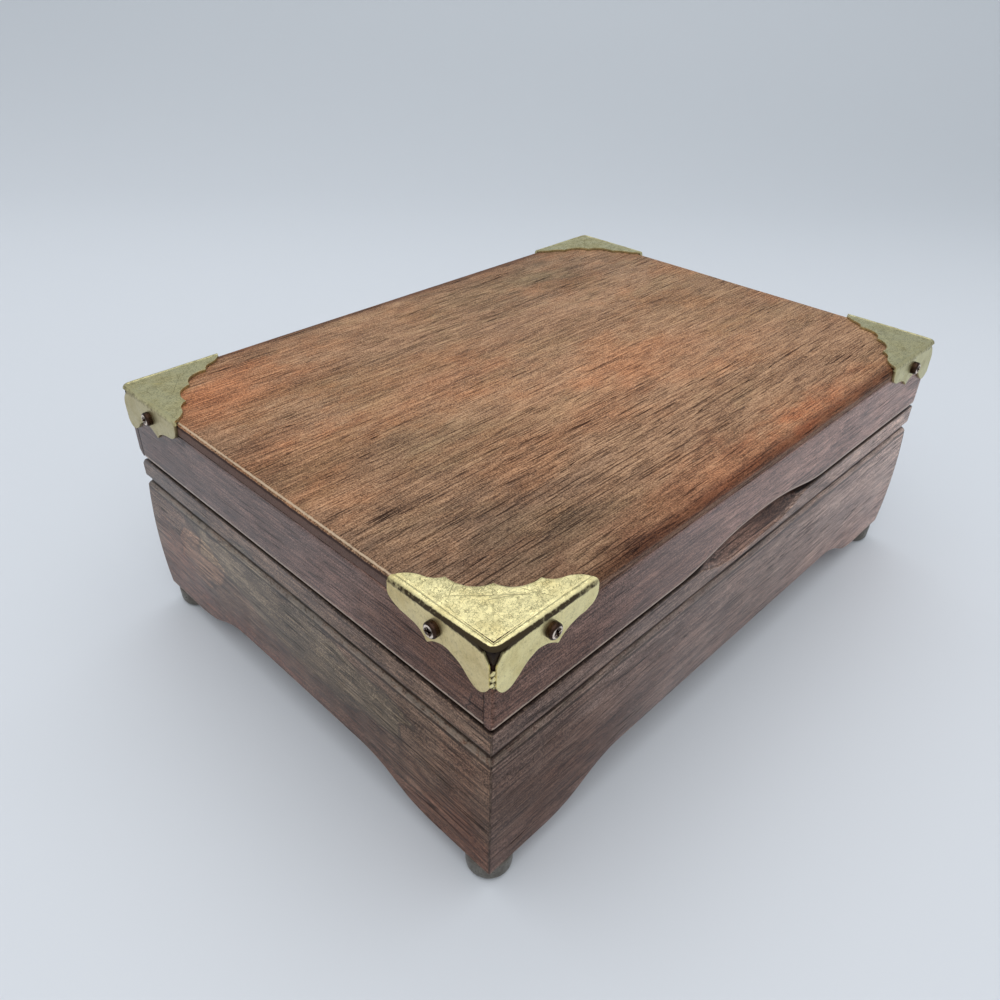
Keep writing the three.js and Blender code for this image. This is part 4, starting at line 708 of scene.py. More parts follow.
# The first patch, darker beside the near corner, is painted shade; the third, brighter in the thumb scoop
# under the lid, is painted light; the last, brighter along the front band, is a painted sheen.
FRONT_PATCHES = [
    ((-82, -75, 26), (44, 20, 24), (0.68, 0.62, 0.58), 1.0),
    ((-50, -74, 30), (60, 30, 16), RED_STAIN, 0.25),
    ((0, -71, 52), (22, 7, 5), (1.3, 1.1, 1.0), 0.9),
    ((30, 74, 30), (40, 30, 16), RED_STAIN, 0.6),
    ((20, -75, 51), (90, 20, 5), (1.25, 1.25, 1.2), 0.9),
]
FRONT_FIGURES = [((-62, 74, 34), (44, 30, 11), 0.0, GREEN_GREY, 0.8, 0.6)]
END_TONES = (168, 140, 118), (105, 83, 69), (44, 32, 26)
END_PATCHES = [
    ((-101, -5, 28), (30, 45, 20), (0.8, 0.76, 0.7), 1.0),
    ((-101, 0, 21), (30, 60, 9), (0.66, 0.58, 0.54), 0.9),
    ((-101, 62, 24), (30, 14, 22), RED_STAIN, 0.8),
    ((-101, 20, 12), (30, 40, 12), RED_STAIN, 0.9),
    ((-101, -66, 26), (30, 12, 30), RED_STAIN, 0.4),
    ((101, -50, 26), (30, 30, 18), RED_STAIN, 0.7),
]
END_FIGURES = [
    ((-101, 2, 37), (60, 44, 8.5), -0.12, GREEN_GREY, 1.0, 0.6),
    ((-101, 46, 32), (60, 15, 9.0), -0.1, TAN, 0.85, 0.5),
    ((101, 10, 33), (60, 36, 10), 0.12, GREEN_GREY, 0.8, 0.6),
]


def flow_lines(t, place, across, deep):
    """Thin lines that flow with the grain: a slow noise folded 13 times, on the outer faces alone."""
    flow = t.times(t.noise(t.stretch(place, (0.012, 0.03, 0.05)), 1.0, 2.0, 0.35, 0.8), 13.0)
    darkest = t.between(outer_skin(t, across, deep, 1.6, 1.1), 0, 1, 1, 0.8)
    return t.between(t.math("PINGPONG", flow, 0.5), 0.0, 0.5, darkest, 1.1, "LINEAR")


def painted_scoop_shadow(t, raw, height, across, colour):
    """Painted shadow of the lid: darker wood inside the thumb scoop, darkest at its two ends."""
    y = t.axis(raw, 1)
    scoop = t.band(y, -HALF_DEPTH + 0.6, -HALF_DEPTH + 1.1, -HALF_DEPTH + 9.1, -HALF_DEPTH + 9.7)
    scoop = t.times(scoop, t.between(height, 49.0, 50.0), t.between(across, 40.0, 32.0))
    colour = t.tint(t.times(scoop, 0.9), colour, (0.74, 0.69, 0.68))
    ends = t.most(t.between(t.axis(raw, 0), -1.0, 10.0), t.between(t.axis(raw, 0), -19.0, -25.0))
    return t.tint(t.times(scoop, ends, 0.9), colour, (0.42, 0.37, 0.36))


def case_wood(name, along, move, tones, redness, ledge_dust_and_light, patches, figures):
    """Case sides: grey-brown with a reddish lower margin, figured patches, flowing lines, a shoulder with
    dust and painted light, painted shade in the groove, along the rim and in the thumb scoop, painted shade
    at the near corner with a painted sheen towards the far end, and a dark mitre joint at each corner."""
    material, t, shader = new_material(name)
    raw = object_millimetres(t)
    place = object_millimetres(t, along, move)
    height = t.axis(raw, 2)
    across, deep = from_middle(t, raw)
    grain = place_grain(t, place, tones, 0.22, 1.2, 1.2)
    ragged = t.noise(t.stretch(place, (0.05, 0.11, 0.11)), 1.0, 5.0, 0.65)
    low = t.between(t.plus(height, t.centred(ragged, 34.0)), 30, 10, 0.0, redness)
    colour = t.tint(low, grain["Colour"], (0.88, 0.62, 0.56))
    colour = stain(t, raw, colour, NEAR_AND_FAR + patches)
    colour = painted_far_end_sheen(t, raw, colour, (2.1, 2.15, 2.2))
    colour = figure(t, raw, colour, figures)
    colour = t.mix(1.0, colour, t.grey(flow_lines(t, place, across, deep)), "MULTIPLY")

    level = t.plus(height, t.centred(ragged, 1.2))
    # Painted shade in the groove under the band, and a darker strip just below the shoulder.
    groove = t.band(level, GROOVE_LOW - 0.2, GROOVE_LOW + 0.1, BAND_BOTTOM, BAND_BOTTOM + 0.4)
    # The pale shoulder is dust together with painted light on the ledge that faces up.
    dust = t.band(level, BODY_TOP - 0.4, BODY_TOP - 0.1, GROOVE_LOW - 0.2, GROOVE_LOW + 0.1)
    under = t.band(level, BODY_TOP - 1.3, BODY_TOP - 0.9, BODY_TOP - 0.4, BODY_TOP - 0.1)
    broken = t.between(t.noise(place, 0.5, 4.0, 0.75), 0.36, 0.56)
    colour = t.mix(t.times(dust, broken, ledge_dust_and_light), colour, linear(134, 124, 112))
    colour = t.mix(t.times(t.most(groove, t.times(under, 0.9)), 0.85), colour, linear(44, 36, 32))
    # Painted shade along the rim's outer edge, in the gap under the lid.
    rim = t.between(height, RIM_TOP - 0.3, RIM_TOP - 0.1, 0.0, 0.85)
    colour = t.mix(t.times(rim, outer_skin(t, across, deep, 3, 1)), colour, linear(38, 28, 25))
    colour = painted_scoop_shadow(t, raw, height, across, colour)
    mitre = t.unsigned(t.minus(t.minus(across, deep), HALF_LENGTH - HALF_DEPTH))
    colour = t.mix(t.between(mitre, 0.55, 0.15, 0.0, 0.8), colour, linear(36, 26, 24))
    satin = near_corner_fade(t, raw)
    finish_wood(t, shader, place, colour, grain, 0.4, linear(158, 134, 116), 0.6, 0.75, t.times(satin, 0.45),
                t.times(satin, 0.3))
    return material


def inner_wood(name, along):
    """Unseen boards: plain pale wood, oiled dark by age."""
    material, t, shader = new_material(name)
    place = object_millimetres(t, along)
    grain = place_grain(t, place, ((168, 136, 102), (146, 112, 80), (108, 80, 56)), 0.4, 0.6, 0.4)
    finish_wood(t, shader, place, grain["Colour"], grain, 0.6, linear(186, 156, 124), 0.3, 0.5, 0.3)
    return material


# Brass, rubber, cloth and other finishes


def make_scratch_group():
    """Fine hairline scratches: borders between cells of several sizes whose places are bent by noise, each
    set stretched another way and thinned out by its own cloud."""
    group, t, inside, out = new_group(
        "hairline_scratches", [("Place", "vector"), ("Width", "value")], [("Mask", "value")]
    )
    plans = ((0.4, 0.34, 0.3, 3), (1.5, 0.4, 0.25, 17), (2.4, 0.28, 0.4, 29), (0.9, 0.62, 0.5, 47))
    sets = []
    for turn, scale, squeeze, move in plans:
        bend = t.add("ShaderNodeTexNoise")
        t.put(bend.inputs["Vector"], t.stretch(inside["Place"], (0.35, 0.35, 0.35), (move, 0, move)))
        t.put(bend.inputs["Detail"], 2.0)
        place = t.vector("ADD", inside["Place"], t.vector("MULTIPLY", bend.outputs["Color"], (3.0, 3.0, 3.0)))
        place = t.stretch(place, (scale * squeeze, scale, scale * 0.7), (move, move, 0), (0, 0, turn))
        line = t.between(t.cell_borders(place), t.times(inside["Width"], scale), 0.0)
        gate = t.noise(t.stretch(inside["Place"], (0.4, 0.4, 0.4), (move * 2, 5, move)), 1.0, 3.0, 0.7)
        sets.append(t.times(line, t.between(gate, 0.4, 0.62)))
    t.put(out["Mask"], t.most(*sets))
    return group


SCRATCHES = make_scratch_group()
LONG_SCRATCHES = [
    ((-91.5, -63.0), 0.75, 9.0), ((-88.0, -66.5), 0.55, 6.5), ((-84.0, -69.0), 1.1, 4.0),
    ((-93.5, -55.0), -0.6, 6.0), ((-90.5, 64.0), -0.9, 7.0), ((90.0, -62.5), 0.9, 7.0),
    ((92.0, 66.0), -0.7, 6.0),
]


def long_scratches(t, place):
    """Single scratches on the plates: thin, bowed lines, each with a middle, a turn and half its length."""
    bow = t.times(t.noise(place, 0.12, 2.0), 1.2)
    marks = []
    for (x, y), turn, half in LONG_SCRATCHES:
        c, s = math.cos(turn), math.sin(turn)
        turned = t.stretch(place, (1, 1, 1), (s * y - c * x, -s * x - c * y, 0), (0, 0, turn))
        off_line = t.unsigned(t.minus(t.plus(t.axis(turned, 1), bow), 0.6))
        within = t.between(t.unsigned(t.axis(turned, 0)), half, half * 0.8)
        marks.append(t.times(t.between(off_line, 0.12, 0.05), within))
    return t.most(*marks)


def old_brass():
    """Old lacquered brass: pebbled sheet with tone clouds, dark crackle and scratches on the plates, duller
    away from the near corner, painted shade on the flanges that face the left end, and nearly black where the
    stored wear falls below 0: tarnished brass, with a painted dark reflection on the fold and painted shade
    along the crease."""
    material, t, shader = new_material("cap_brass")
    place = object_millimetres(t)
    rubbed = t.wear()
    clouds = t.noise(place, 0.12, 4.0, 0.6)
    bend = t.times(t.noise(place, 1.1, 3.0, 0.6), 1.6)
    cracks = t.cell_borders(t.vector("ADD", place, t.from_axes(bend, bend, bend)), 1.15)
    opened = t.between(t.noise(place, 0.6, 3.0, 0.7), 0.42, 0.6)
    scratches = t.most(place_group(t, SCRATCHES, Place=place, Width=0.1)["Mask"],
                       t.times(t.between(cracks, 0.085, 0.03), opened, 0.85),
                       t.times(long_scratches(t, place), 0.9))
    scratches = t.times(scratches, t.between(rubbed, 0.0, 1.0, 0.25, 1.0, "LINEAR"))

    colour = t.mix(t.between(clouds, 0.42, 0.72), linear(246, 234, 177), linear(226, 211, 152))
    away = t.between(t.plus(t.axis(place, 0), t.axis(place, 1)), -110.0, -95.0, 0.0, 0.9)
    colour = t.tint(away, colour, (0.66, 0.69, 0.72))
    # Painted shade on the flanges that face the left end, which get less light.
    painted_left_flange_shade = t.between(t.axis(place, 0), -HALF_LENGTH - 0.7, -HALF_LENGTH - 0.8)
    colour = t.tint(painted_left_flange_shade, colour, (0.84, 0.78, 0.78))
    colour = t.mix(t.times(scratches, 0.7), colour, (0.07, 0.055, 0.02, 1))
    # Nearly black where the stored wear falls below 0: tarnished brass, and a painted dark reflection on the
    # fold with painted shade along its crease.
    tarnish_and_dark_reflection = t.minus(t.centred(t.noise(place, 0.9, 5.0, 0.7), 1.7), rubbed)
    tarnish_and_dark_reflection = t.between(tarnish_and_dark_reflection, 0.12, 0.75, kind="LINEAR")
    colour = t.mix(t.times(tarnish_and_dark_reflection, 0.985), colour, (0.035, 0.022, 0.01, 1))

    t.put(shader["Base Color"], colour)
    t.put(shader["Metallic"], t.minus(1.0, t.times(tarnish_and_dark_reflection, 0.7)))
    t.put(shader["Specular IOR Level"], t.between(tarnish_and_dark_reflection, 0.0, 1.0, 0.5, 0.15, "LINEAR"))
    sheen = t.between(clouds, 0.3, 0.7, 0.28, 0.44, "LINEAR")
    t.put(shader["Roughness"], t.plus(sheen, t.times(tarnish_and_dark_reflection, 0.2), t.times(scratches, 0.25)))
    pebble = t.times(t.noise(place, 2.6, 2.0, 0.5), 0.8)
    t.put(shader["Normal"], t.bump(t.minus(pebble, scratches), 0.22, 0.00005))
    return material


def dark_screw_finish():
    """Antiqued steel: nearly black in the hollows, and brighter where the stored wear is high: rub marks from
    a driver and fingers together with painted highlights.
    """
    material, t, shader = new_material("antiqued_screw")
    place = object_millimetres(t)
    speckle = t.noise(place, 1.8, 4.0, 0.7)
    # The brighter parts are rub wear together with painted highlights on the face's ring and the recess's
    # edge.
    rub = t.between(t.plus(t.wear(), t.centred(speckle, 0.5)), 0.35, 0.75)
    t.put(shader["Base Color"], t.mix(rub, (0.045, 0.026, 0.018, 1), (0.82, 0.7, 0.6, 1)))
    shader["Metallic"].default_value = 1.0
    t.put(shader["Roughness"], t.between(speckle, 0.3, 0.7, 0.2, 0.42))
    t.put(shader["Normal"], t.bump(speckle, 0.3, 0.00005))
    return material


def clear_rubber():
    """Bumper rubber, cloudy with age: a little light passes, and dust makes it darker and rougher."""
    material, t, shader = new_material("clear_bumper")
    dust = t.noise(object_millimetres(t), 0.7, 4.0, 0.65)
    t.put(shader["Base Color"], t.mix(t.between(dust, 0.35, 0.7), linear(106, 102, 93), linear(84, 79, 71)))
    shader["Transmission Weight"].default_value = 0.2
    shader["IOR"].default_value = 1.48
    t.put(shader["Roughness"], t.between(dust, 0.3, 0.7, 0.22, 0.5))
    t.put(shader["Normal"], t.bump(dust, 0.15, 0.0001))
    return material


def velvet(name, deep, pale):
    """Short pile: sheen at grazing angles, pile direction clouds and tiny fibre bump."""
    material, t, shader = new_material(name)
    place = object_millimetres(t)
    clouds = t.noise(place, 0.035, 4.0, 0.62)
    pile = t.noise(place, 4.5, 3.0, 0.7)
    colour = t.mix(t.between(clouds, 0.3, 0.75), deep, pale)
    colour = t.mix(1.0, colour, t.grey(t.between(pile, 0.25, 0.75, 0.6, 1.25, "LINEAR")), "MULTIPLY")
    t.put(shader["Base Color"], colour)
    shader["Roughness"].default_value = 0.9
    shader["Sheen Weight"].default_value = 0.8
    shader["Sheen Roughness"].default_value = 0.35
    shader["Sheen Tint"].default_value = (0.9, 0.45, 0.5, 1)
    t.put(shader["Normal"], t.bump(pile, 0.6, 0.00025))
    return material


def machined(name, colour, stained, rough):
    """Turned or stamped metal: fine speckle in the gloss and faint stain clouds."""
    material, t, shader = new_material(name)
    place = object_millimetres(t)
    clouds = t.noise(place, 0.25, 4.0, 0.6)
    speckle = t.noise(place, 3.5, 3.0, 0.6)
    t.put(shader["Base Color"], t.mix(t.between(clouds, 0.4, 0.72), linear(*colour), linear(*stained)))
    shader["Metallic"].default_value = 1.0
    t.put(shader["Roughness"], t.between(speckle, 0.3, 0.7, rough - 0.08, rough + 0.1, "LINEAR"))
    t.put(shader["Normal"], t.bump(speckle, 0.2, 0.00003))
    return material


def clear_cover():
    """Clear moulded plastic with faint rub marks."""
    material, t, shader = new_material("clear_cover")
    marks = place_group(t, SCRATCHES, Place=object_millimetres(t), Width=0.012)["Mask"]
    shader["Base Color"].default_value = (0.93, 0.95, 0.94, 1)
    shader["Transmission Weight"].default_value = 0.96
    shader["IOR"].default_value = 1.46
    t.put(shader["Roughness"], t.plus(0.03, t.times(marks, 0.25)))
    return material


def silvered_glass():
    """Mirror glass with the faint haze of finger marks."""
    material, t, shader = new_material("mirror_glass")
    haze = t.noise(object_millimetres(t), 0.08, 4.0, 0.6)
    shader["Base Color"].default_value = (0.86, 0.88, 0.88, 1)
    shader["Metallic"].default_value = 1.0
    t.put(shader["Roughness"], t.between(haze, 0.45, 0.75, 0.02, 0.1))
    return material


TOP_WOOD = top_wood()
LID_WOOD_X = rail_wood("lid_rail_wood", ALONG_X, (40, 7, 0))
LID_WOOD_Y = rail_wood("lid_end_wood", ALONG_Y, (90, 33, 0))
CASE_WOOD_X = case_wood("case_side_wood", ALONG_X, (15, 60, 0), FRONT_TONES, 0.4, 0.3, FRONT_PATCHES,
                        FRONT_FIGURES)
CASE_WOOD_Y = case_wood("case_end_wood", ALONG_Y, (5, 21, 0), END_TONES, 0.8, 0.6, END_PATCHES, END_FIGURES)
INNER_WOOD = inner_wood("inner_wood", ALONG_X)
INNER_WOOD_Y = inner_wood("divider_wood", ALONG_Y)
CAP_BRASS = old_brass()
PART_BRASS = machined("part_brass", (206, 176, 104), (160, 128, 68), 0.3)
STEEL = machined("steel", (176, 178, 180), (126, 126, 124), 0.3)
ZINC = machined("cast_zinc", (168, 170, 168), (128, 130, 128), 0.42)
SCREW = dark_screw_finish()
BUMPER = clear_rubber()
VELVET = velvet("red_velvet", linear(98, 20, 34), linear(118, 27, 43))
FELT = velvet("green_felt", linear(42, 72, 52), linear(60, 92, 68))
COVER = clear_cover()
MIRROR = silvered_glass()


# Case sides


def body_bulge(height):
    """How far the body of a side stands out from its face plane: 2.8 t (1-t), 0.7 mm in the middle."""
    t = np.clip((height - (SIDE_FOOT + 0.8)) / (BODY_TOP - SIDE_FOOT - 0.8), 0.0, 1.0)
    return 2.8 * t * (1.0 - t)


def arch_height(along, half, crest):
    """Height of a side's lower edge: flat at the feet, an S curve up to the crest and flat in the middle."""
    start, top = half - 18.0, half - 48.0
    curve = cubic((start, SIDE_FOOT), (start - 14.0, SIDE_FOOT), (top + 15.0, crest), (top, crest), 80)
    return np.interp(np.abs(along), curve[::-1, 0], curve[::-1, 1])


def scoop_drop(along):
    """Depth of the thumb scoop at the face: an S curve from 30 mm out, flat over the middle 20 mm."""
    curve = cubic((10.0, SCOOP_DEPTH), (22.0, SCOOP_DEPTH), (22.0, 0.0), (30.0, 0.0), 60)
    return np.interp(np.abs(along), curve[:, 0], curve[:, 1])


def side_stations(half):
    """Places along a side, evenly spaced and then closer and closer together at the mitres."""
    ends = half - np.array([MITRE_REACH, 9.0, 6.0, 4.0, 2.5, 1.5, 0.8, 0.35, 0.12, 0.0])
    middle = np.linspace(-(half - MITRE_REACH), half - MITRE_REACH, 170)
    return np.concatenate([-ends[::-1], middle[1:-1], ends])


def case_side(half, crest, scooped, seed):
    """Moulded side as a closed section carried along it; the section's foot follows the arch and its top the
    scoop, and within MITRE_REACH of the corner each point slides outwards so that the ends meet in mitres."""
    stations = side_stations(half)
    section = Section(stations)
    put = section.put
    foot = arch_height(stations, half, crest)
    radius = 0.4 + 0.4 * (1 - smooth_step(foot, SIDE_FOOT + 0.05, SIDE_FOOT + 2.0))
    drop = scoop_drop(stations) if scooped else np.zeros_like(stations)
    for degrees in (-90, -65, -40, -15):
        a = math.radians(degrees)
        edge = body_bulge(foot + radius)
        put(edge - radius + radius * math.cos(a), foot + radius + radius * math.sin(a), 0.75)
    for share in np.linspace(0, 1, 26):
        height = foot + radius + share * (BODY_TOP - foot - radius)
        near = 0.45 * np.exp(-((height - foot) / 1.2)) + 0.55 * np.exp(-((BODY_TOP - height) / 0.8))
        put(body_bulge(height), height, near)
    for out, height in quadratic((0, BODY_TOP), (-0.5, GROOVE_LOW), (-1.0, GROOVE_LOW), 7)[1:]:
        put(out, height, 0.25 if out > -0.6 else 0.0)
    put(-1.0, GROOVE_LOW + 0.5)
    put(-1.0, BAND_BOTTOM - 0.4)
    band_low = BAND_BOTTOM + 1.2
    for out, height in quadratic((-1.0, BAND_BOTTOM), (0, BAND_BOTTOM), (0, band_low), 7):
        put(out, height, 0.5 if out > -0.7 else 0.0)
    edge_top = RIM_TOP - drop
    for share in np.linspace(0.15, 1, 6):
        put(0.0, band_low + share * (edge_top - 0.5 - band_low), 0.05 + 0.25 * (share > 0.95))
    for out, height in quadratic((0, -0.5), (0, 0), (-0.5, 0), 5)[1:]:
        put(out, edge_top + height, 0.5)
    scoop_slope = SCOOP_DEPTH / SCOOP_WIDTH
    for out in np.linspace(-0.9, 0.3 - WALL, 16):
        put(out, np.minimum(RIM_TOP, edge_top - out * scoop_slope * (drop > 0) + 9.0 * (drop <= 0)))
    inner, groove_out = -WALL, -WALL + FLOOR_GROOVE
    put(inner + 0.1, RIM_TOP - 0.08, 0.3)
    put(inner, RIM_TOP - 0.3, 0.3)
    put(inner, 0.5 * (RIM_TOP + FLOOR_TOP))
    for out, height in ((inner, FLOOR_TOP), (groove_out, FLOOR_TOP)):
        put(out, height + 0.1)
    for out, height in ((groove_out, FLOOR_LOW), (inner, FLOOR_LOW)):
        put(out, height - 0.1)
    put(inner, foot + 0.4)
    put(inner + 0.12, foot + 0.12, 0.3)
    for share in (0.0, 0.35, 0.7):
        put(inner + 0.4 + share * (WALL - 1.2), foot)
    out, height, wear = section.grids()
    place = np.abs(stations)[:, None]
    reach = half - MITRE_REACH
    along = np.where(place > reach, reach + (place - reach) * (half - reach + out) / (half - reach), place)
    along = np.minimum(along, half + out - MITRE_GAP) * np.sign(stations)[:, None]
    mitre = np.exp(-np.maximum(half - place, 0) / 0.12) * 0.22
    wear = np.maximum(wear, 0.6 * np.exp(-np.maximum(half - place, 0) / 0.9))
    points = np.stack([along, -out, height], -1)
    uneven = waves(points * np.array([0.35, 1, 1]), seed, 34.0)
    outside = (out > -1.2) & (height > foot[:, None] + 0.2)
    out = out - np.where(outside, mitre, 0) + np.where(outside, 0.045 * uneven, 0)
    return np.stack([along, -out, height], -1), wear


def place_side(points, face, quarters):
    """Moves a side that was made with its face plane on Y = 0 out to its place and turns it round the box."""
    moved = points.copy()
    moved[..., 1] -= face
    return quarter_turned(moved, quarters)


def cut_with(name, piece, boxes):
    """Takes box-shaped notches out of a finished mesh."""
    for index, box in enumerate(boxes):
        corners = np.stack(np.meshgrid(*zip(*box), indexing="ij"), -1).reshape(-1, 3)
        faces = [[0, 1, 3, 2], [4, 6, 7, 5], [0, 4, 5, 1], [2, 3, 7, 6], [0, 2, 6, 4], [1, 5, 7, 3]]
        cutter = bpy.data.objects.new(f"{name}_cutter_{index}", make_mesh("cutter", [(corners, faces)], 30))
        bpy.context.scene.collection.objects.link(cutter)
        cut = piece.modifiers.new("notch", "BOOLEAN")
        cut.operation = "DIFFERENCE"
        cut.solver = "EXACT"
        cut.object = cutter
        bpy.context.view_layer.update()
        graph = bpy.context.evaluated_depsgraph_get()
        mesh = bpy.data.meshes.new_from_object(piece.evaluated_get(graph))
        piece.modifiers.clear()
        piece.data = mesh
        bpy.data.objects.remove(cutter)


HINGE_X, HINGE_Y, HINGE_Z = 60.0, HALF_DEPTH - 2.2, RIM_TOP + 0.6
NOTCH_HALF_LENGTH, NOTCH_REACH = 12.85, 1.95
HINGE_NOTCHES = [
    ((x - NOTCH_HALF_LENGTH, HINGE_Y - NOTCH_REACH, HINGE_Z - NOTCH_REACH),
     (x + NOTCH_HALF_LENGTH, HALF_DEPTH + 2, HINGE_Z + NOTCH_REACH))
    for x in (-HINGE_X, HINGE_X)
]


def bevelled_back(points, direction):
    """Back edges lose a wedge so that lid and case meet when the lid stands open: height is held to a plane
    through the hinge axis at half the opening angle, under it for the case and over it for the lid."""
    moved = points.copy()
    behind = moved[..., 1] - HINGE_Y
    half_opening = math.radians(LID_OPENING_DEGREES / 2)
    away = 0.15 / math.cos(half_opening) + np.maximum(behind, 0) * math.tan(half_opening)
    limit = HINGE_Z + direction * away
    held = np.minimum(moved[..., 2], limit) if direction < 0 else np.maximum(moved[..., 2], limit)
    moved[..., 2] = np.where(behind > 0, held, moved[..., 2])
    return moved


def case_sides():
    """Front, right, back and left sides, each from the same rule with its own length and crest."""
    plans = [
        ("base_front", HALF_LENGTH, HALF_DEPTH, 15.2, 0, True, CASE_WOOD_X, 11),
        ("base_right", HALF_DEPTH, HALF_LENGTH, 13.8, 1, False, CASE_WOOD_Y, 23),
        ("base_back", HALF_LENGTH, HALF_DEPTH, 15.2, 2, False, CASE_WOOD_X, 37),
        ("base_left", HALF_DEPTH, HALF_LENGTH, 13.8, 3, False, CASE_WOOD_Y, 41),
    ]
    for node, half, face, crest, quarters, scooped, material, seed in plans:
        points, wear = case_side(half, crest, scooped, seed)
        placed = place_side(points, face, quarters)
        if node != "base_front":
            placed = bevelled_back(placed, -1)
        piece = make_piece(f"{node}_board", [closed_sweep(placed)], material, "case", [node],
                           tag=[wear])
        if node == "base_back":
            cut_with(node, piece, HINGE_NOTCHES)


# Lid


def lid_arch_rise(along):
    """Rise of the lid front's lower edge: an S curve from 38 mm out up to 4.4 mm in the middle."""
    curve = cubic((38.0, 0.0), (24.0, 0.0), (20.0, 4.4), (0.0, 4.4), 80)
    return np.interp(np.abs(along), curve[::-1, 0], curve[::-1, 1])


def lid_board(stations, depth, low, seed):
    """Lid side as a closed section carried along it, with its depth and lower edge at each station: rounded
    lower arris, flat face and eased upper edge."""
    section = Section(stations)
    put = section.put
    low_radius, top = 0.45, LID_RAIL_TOP
    # The pale lower arris, where the wear is 0.95, is rub wear together with a painted highlight along the
    # arris.
    for degrees in (270, 248, 226, 204, 180):
        a = math.radians(degrees)
        wear = 0.95 if degrees < 230 else 0.3
        put(-low_radius - low_radius * math.cos(a), low + low_radius + low_radius * math.sin(a), wear)
    for share in np.linspace(0.06, 1, 14):
        put(0.0, low + low_radius + share * (top - 0.35 - low - low_radius))
    put(-0.12, top - 0.12, 0.1)
    put(-0.4, top)
    for share in (0.33, 0.66):
        put(-0.4 - share * (depth - 0.7), top)
    put(-depth + 0.3, top)
    put(-depth, top - 0.3)
    put(-depth, 0.5 * (top + low))
    put(-depth, low + 0.35)
    put(-depth + 0.1, low + 0.1, 0.4)
    put(-depth + 0.35, low)
    for share in (0.66, 0.33):
        put(-low_radius - share * (depth - 0.8), low)
    out, height, wear = section.grids()
    along = stations[:, None] + 0 * out
    points = np.stack([along, -out, height], -1)
    uneven = 0.05 * waves(points * np.array([0.35, 1, 1]), seed, 40.0)
    out = np.where((out > -0.2) & (height < top - 0.4), out + uneven, out)
    return np.stack([along, -out, height], -1), wear


def lid_boards():
    """Long boards run the full length with a thin tongue over the ends of the short boards."""
    inner = HALF_LENGTH - WALL
    ends = np.concatenate([inner + np.array([0.02, 3, 6, 8.5]), HALF_LENGTH - np.array([0.9, 0.3, 0.0])])
    stations = np.concatenate([-ends[::-1], np.linspace(-inner + 0.02, inner - 0.02, 170), ends])
    depth = np.where(np.abs(stations) > inner, LAP_TONGUE - 0.02, WALL)
    to_end = (HALF_LENGTH - np.abs(stations))[:, None]
    plans = [("lid_front", 0, lid_arch_rise(stations), 53), ("lid_back", 2, 0 * stations, 59)]
    for node, quarters, rise, seed in plans:
        points, wear = lid_board(stations, depth, LID_BOTTOM + rise, seed)
        points[..., 1] += np.where(points[..., 1] < 0.3, 0.35 * np.exp(-to_end / 0.25), 0)
        wear = np.maximum(wear, 0.5 * np.exp(-np.abs(to_end - 0.25) / 0.12))
        wear[[0, -1]] = 0.0
        placed = place_side(points, HALF_DEPTH, quarters)
        if node == "lid_back":
            placed = bevelled_back(placed, 1)
        piece = make_piece(f"{node}_board", [closed_sweep(placed)], LID_WOOD_X, "lid", [node],
                           tag=[wear])
        if node == "lid_back":
            cut_with(node, piece, HINGE_NOTCHES)
    reach = HALF_DEPTH - LAP_TONGUE - 0.02
    stations = np.concatenate([[-reach], np.linspace(-reach + 0.3, reach - 0.3, 120), [reach]])
    for node, quarters, seed in (("lid_right", 1, 61), ("lid_left", 3, 67)):
        points, wear = lid_board(stations, WALL, LID_BOTTOM, seed)
        rounded = 0.3 * np.exp(-(reach - np.abs(stations)) / 0.12)[:, None]
        points[..., 1] += np.where(points[..., 1] < 0.3, rounded, 0)
        placed = place_side(points, HALF_LENGTH, quarters)
        make_piece(f"{node}_board", [closed_sweep(placed)], LID_WOOD_Y, "lid", [node], tag=[wear])


def rounded_spacing(half, radius, inside_count, edge_count):
    """Places from -half to half: even in the middle and by equal angles over the rounded edges."""
    angle = np.linspace(0, math.pi / 2, edge_count)
    edge = half - radius + radius * np.sin(angle)
    middle = np.linspace(-(half - radius), half - radius, inside_count)
    return np.concatenate([-edge[::-1], middle[1:-1], edge])


